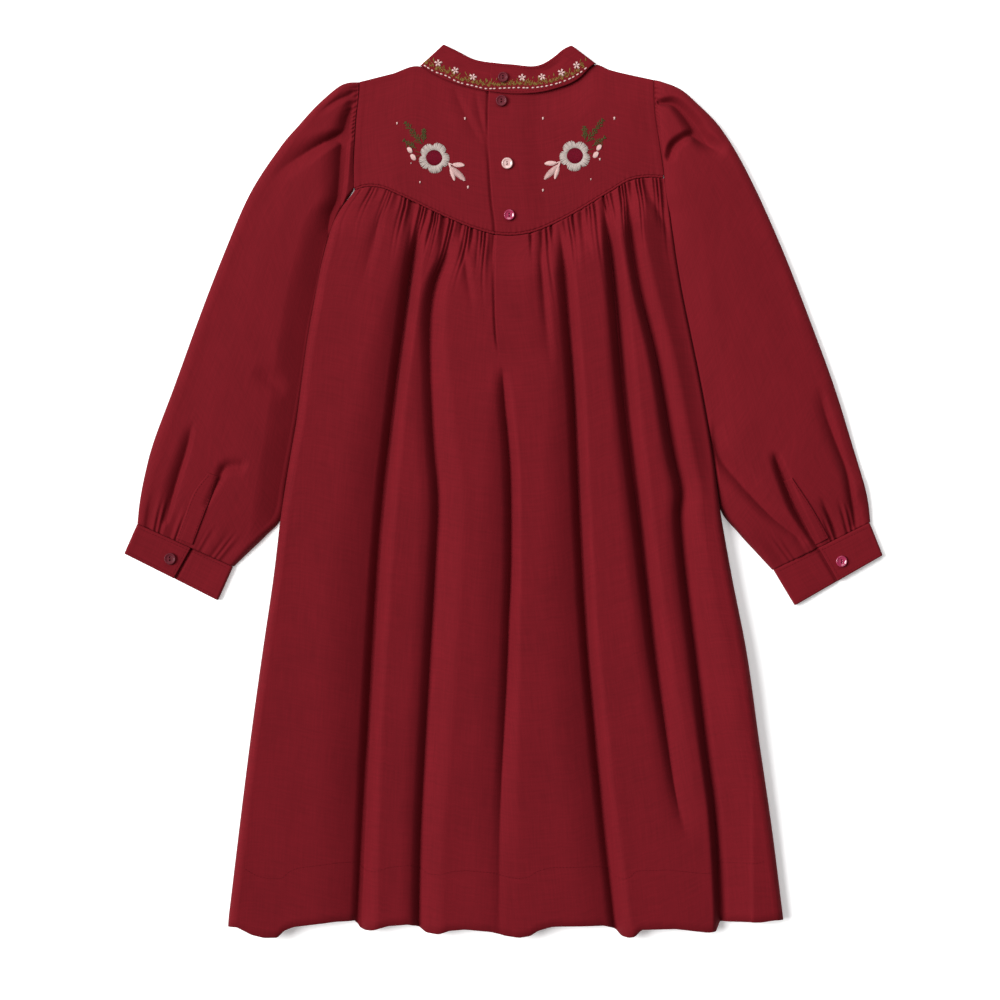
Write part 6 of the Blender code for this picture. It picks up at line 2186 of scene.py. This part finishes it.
flower_bars = [bar for number, x in enumerate(FLOWERS_ON_COLLAR) for bar in collar_flower(x, number)]
tuft_bars = [bar for number, x in enumerate(TUFTS_ON_COLLAR) for bar in collar_tuft(x, number)]
stitches("collar_running_stitch", running_bars(), collar_ground, "pink")
stitches("collar_flowers", flower_bars, collar_ground, "pink")
stitches("collar_tufts", tuft_bars, collar_ground, "gold")
print("running stitches:", len(running_bars()), "flowers:", len(FLOWERS_ON_COLLAR))

# %% [markdown]
# ## Button thread and red sewing
# Each button is held by three turns of thread between its holes. Red machine stitching, close in
# colour to the cloth, holds the hem, the collar's edge, the cuffs and the plackets.

# %% Sewing thread
LOW_EDGE = 2.2


def sewn_line(path, pitch=2.9, dash=2.25, radius=0.2):
    """Machine stitches along a line of places on the cloth."""
    path = np.asarray(path, float)
    run = np.concatenate([[0.0], np.cumsum(np.hypot(*np.diff(path, axis=0).T))])
    begins = np.arange(0.4, run[-1] - dash, pitch)
    ends = begins + dash
    return [
        (*place, radius, 0.03)
        for place in zip(
            np.interp(begins, run, path[:, 0]), np.interp(begins, run, path[:, 1]),
            np.interp(ends, run, path[:, 0]), np.interp(ends, run, path[:, 1]),
        )
    ]


def hem_line():
    last = sum(SPANS)
    columns = np.linspace(0.3, last - 0.3, 400)
    _, low = column_ends(columns)
    y = low + HEM_DEPTH
    return np.stack([column_x(columns, y), y], axis=1)


def collar_lines():
    lower = np.linspace(-66.0, 72.0, 200)
    upper = np.linspace(-48.0, 53.0, 160)
    return (
        np.stack([lower, along(NECK_SEAM, "x", "y", lower) + LOW_EDGE], axis=1),
        np.stack([upper, along(COLLAR_TOP, "x", "y", upper) - LOW_EDGE], axis=1),
    )


def cuff_lines(cuff):
    corners = (cuff.outer_top, cuff.inner_top, cuff.inner_low, cuff.outer_low)
    corners = [np.array(corner) for corner in corners]
    middle = sum(corners) / 4.0
    outer_top, inner_top, inner_low, outer_low = [mix(corner, middle, 0.07) for corner in corners]
    down = (outer_low - outer_top) * 0.06
    lap_top = mix(outer_top, inner_top, cuff.lap_top)
    lap_low = mix(outer_low, inner_low, cuff.lap_low)
    return (
        np.linspace(outer_top + down, inner_top + down, 60),
        np.linspace(outer_low - down, inner_low - down, 60),
        np.linspace(lap_top, lap_low, 30) - (inner_top - outer_top) * 0.025,
    )


def placket_lines(strips, side):
    share = np.linspace(0.03, 0.97, 60)
    x, y = along_rows(strips, "x", share), along_rows(strips, "y", share)
    width = along_rows(strips, "width", share)
    run = np.stack([np.gradient(x), np.gradient(y)], axis=1)
    run /= np.linalg.norm(run, axis=1)[:, None]
    lines = []
    for reach in (np.full(len(x), 1.6), width - 1.6):
        lines.append(np.stack([x + run[:, 1] * side * reach, y - run[:, 0] * side * reach], axis=1))
    return lines


def sew(name, lines, surface):
    bars = [bar for line in lines for bar in sewn_line(line)]
    return stitches(name, bars, surface, "red", steps=5, sides=4)


def button_thread(button):
    top = BUTTON_BASES[button.name] + BUTTON_THICKNESS * 0.70
    reach = button.radius * HOLE_AWAY
    return [
        (button.x + offset, button.y - reach, button.x + offset * 0.6, button.y + reach, 0.26, top)
        for offset in (-0.32, 0.0, 0.32)
    ]


hem_sewing = sew("hem_sewing", [hem_line()], top_of(skirt))
collar_sewing = sew("collar_sewing", collar_lines(), collar_ground)
left_cuff_sewing = sew("cuff_sewing_left", cuff_lines(CUFF_LEFT), top_of(cuff_left))
right_cuff_sewing = sew("cuff_sewing_right", cuff_lines(CUFF_RIGHT), top_of(cuff_right))
left_placket_sewing = sew("placket_sewing_left", placket_lines(PLACKET_LEFT, 1.0), top_of(placket_left))
right_placket_sewing = sew("placket_sewing_right", placket_lines(PLACKET_RIGHT, -1.0), top_of(placket_right))


def no_ground(x, y):
    return 0.0


thread_bars = [bar for button in BUTTONS for bar in button_thread(button)]
stitches("button_thread", thread_bars, no_ground, "red", steps=9)
print("hem stitches:", len(sewn_line(hem_line())))

# %% [markdown]
# ## The table
# The table stands in for the photographer's white ground. It glows a little, as a light table does,
# so that shadows on it stay faint.

# %% Table
TABLE_REACH = 6.0
TABLE_GLOW = 0.3
TABLE_LEVEL = -0.0004


def plain_material(name, colour, roughness, glow):
    material = bpy.data.materials.new(name)
    material.use_nodes = True
    tree = material.node_tree
    shader = tree.nodes["Principled BSDF"]
    place = add_node(tree, "ShaderNodeTexCoord")
    grain = noise(tree, place.outputs["Object"], 90.0, 3.0, (1.0, 1.0, 1.0))
    shader.inputs["Base Color"].default_value = (*colour, 1.0)
    bump = add_node(tree, "ShaderNodeBump")
    bump.inputs["Strength"].default_value = 0.05
    bump.inputs["Distance"].default_value = 0.0002
    tree.links.new(grain, bump.inputs["Height"])
    tree.links.new(bump.outputs[0], shader.inputs["Normal"])
    shader.inputs["Roughness"].default_value = roughness
    shader.inputs["Specular IOR Level"].default_value = 0.1
    shader.inputs["Emission Color"].default_value = (*colour, 1.0)
    shader.inputs["Emission Strength"].default_value = glow
    return material


def build_floor():
    mesh = bpy.data.meshes.new("floor")
    reach = TABLE_REACH
    corners = [(-reach, -reach, 0), (reach, -reach, 0), (reach, reach, 0), (-reach, reach, 0)]
    mesh.from_pydata(corners, [], [(0, 1, 2, 3)])
    mesh.materials.append(plain_material("pale_table", (0.95, 0.95, 0.95), 0.8, TABLE_GLOW))
    floor = bpy.data.objects.new("floor", mesh)
    floor.location = (0.0, 0.0, TABLE_LEVEL)
    bpy.context.scene.collection.objects.link(floor)
    return floor


floor = build_floor()
print("table:", floor.name)

# %% [markdown]
# ## What each piece of cloth is cut from
# Every sheet is listed with a width, a length and a flat area. These were chosen to come near the
# cloth area that each mesh measures, so they only show that nothing is far out of scale. They are
# not the measured sides of a pattern piece. A sleeve counts all round.

# %% Sheets


def cloth_area(piece):
    """Half the surface of a closed wall, in square metres."""
    return sum(polygon.area for polygon in piece.data.polygons) / 2.0


Cut = namedtuple("Cut", "piece width length area held rests_on sewn")
left_sprays = [bpy.data.objects[f"{name}_left"] for name in SPRAY_PIECES]
right_sprays = [bpy.data.objects[f"{name}_right"] for name in SPRAY_PIECES]
COLLAR_PIECES = ("collar_running_stitch", "collar_flowers", "collar_tufts")
collar_sprays = [bpy.data.objects[name] for name in COLLAR_PIECES]
CUTS = (
    Cut(skirt, 0.570, 0.655, 0.337, "gathered", [front], [hem_sewing]),
    Cut(front, 0.495, 0.740, 0.264, "laid", [floor], []),
    Cut(yoke_left, 0.150, 0.135, 0.0165, "laid", [front], left_sprays),
    Cut(yoke_right, 0.153, 0.135, 0.0167, "laid", [front, yoke_left], right_sprays),
    Cut(collar, 0.405, 0.0235, None, "folded", [floor], [collar_sewing, *collar_sprays]),
    Cut(sleeve_left, 0.280, 0.400, 0.085, "gathered", [floor], []),
    Cut(sleeve_right, 0.285, 0.410, 0.089, "gathered", [floor], []),
    Cut(placket_left, 0.0155, 0.061, None, "laid", [sleeve_left], [left_placket_sewing]),
    Cut(placket_right, 0.0145, 0.068, None, "laid", [sleeve_right], [right_placket_sewing]),
    Cut(cuff_left, 0.215, 0.031, None, "folded", [floor], [left_cuff_sewing]),
    Cut(cuff_right, 0.222, 0.033, None, "folded", [floor], [right_cuff_sewing]),
)
for cut in CUTS:
    print(cut.piece.name, "cloth in square metres:", round(cloth_area(cut.piece), 4))

# %% [markdown]
# ## Light and camera
# A wide light stands on the left, which draws the folds, and a softer one beyond the collar fades
# towards the hem. Together they are about half as strong again as white needs, so the table turns
# white, and the cloth is mixed darker to suit. The camera looks straight down from far above.

# %% Stage
CAMERA_HEIGHT = 2.6
FIELD = 0.880
LOOK_LEVEL = 0.008
PHOTO_MIDDLE = (-0.00307, -0.00843)
ROOM_BRIGHTNESS = 0.20
KEY_PLACE = (-1.0, 0.2, 1.0)
KEY_POWER = 4.5
KEY_SPREAD = 36.0
TOP_PLACE = (0.1, 1.1, 0.9)
TOP_POWER = 7.4
TOP_SIZE = 0.9


def build_light(name, kind, place, aim, power, size):
    data = bpy.data.lights.new(name, kind)
    data.energy = power
    if kind == "SUN":
        data.angle = size
    else:
        data.shape = "DISK"
        data.size = size
    light = bpy.data.objects.new(name, data)
    light.location = place
    light.rotation_euler = (Vector(aim) - Vector(place)).to_track_quat("-Z", "Y").to_euler()
    bpy.context.scene.collection.objects.link(light)
    return light


def build_world(brightness):
    world = bpy.data.worlds.new("soft_room")
    world.use_nodes = True
    back = world.node_tree.nodes["Background"]
    back.inputs["Color"].default_value = (1.0, 1.0, 1.0, 1.0)
    back.inputs["Strength"].default_value = brightness
    bpy.context.scene.world = world


def build_camera():
    data = bpy.data.cameras.new("camera_above")
    data.sensor_fit = "HORIZONTAL"
    data.angle = 2.0 * math.atan(FIELD / 2.0 / (CAMERA_HEIGHT - LOOK_LEVEL))
    data.clip_end = 50.0
    camera = bpy.data.objects.new("camera_above", data)
    camera.location = (*PHOTO_MIDDLE, CAMERA_HEIGHT)
    bpy.context.scene.collection.objects.link(camera)
    bpy.context.scene.camera = camera
    return camera


build_world(ROOM_BRIGHTNESS)
build_light("key_left", "SUN", KEY_PLACE, (0.0, 0.0, 0.0), KEY_POWER, math.radians(KEY_SPREAD))
build_light("top_light", "AREA", TOP_PLACE, (0.0, 0.2, 0.0), TOP_POWER, TOP_SIZE)
build_camera()
bpy.context.scene.view_settings.view_transform = "Standard"
print("camera height in m:", CAMERA_HEIGHT)
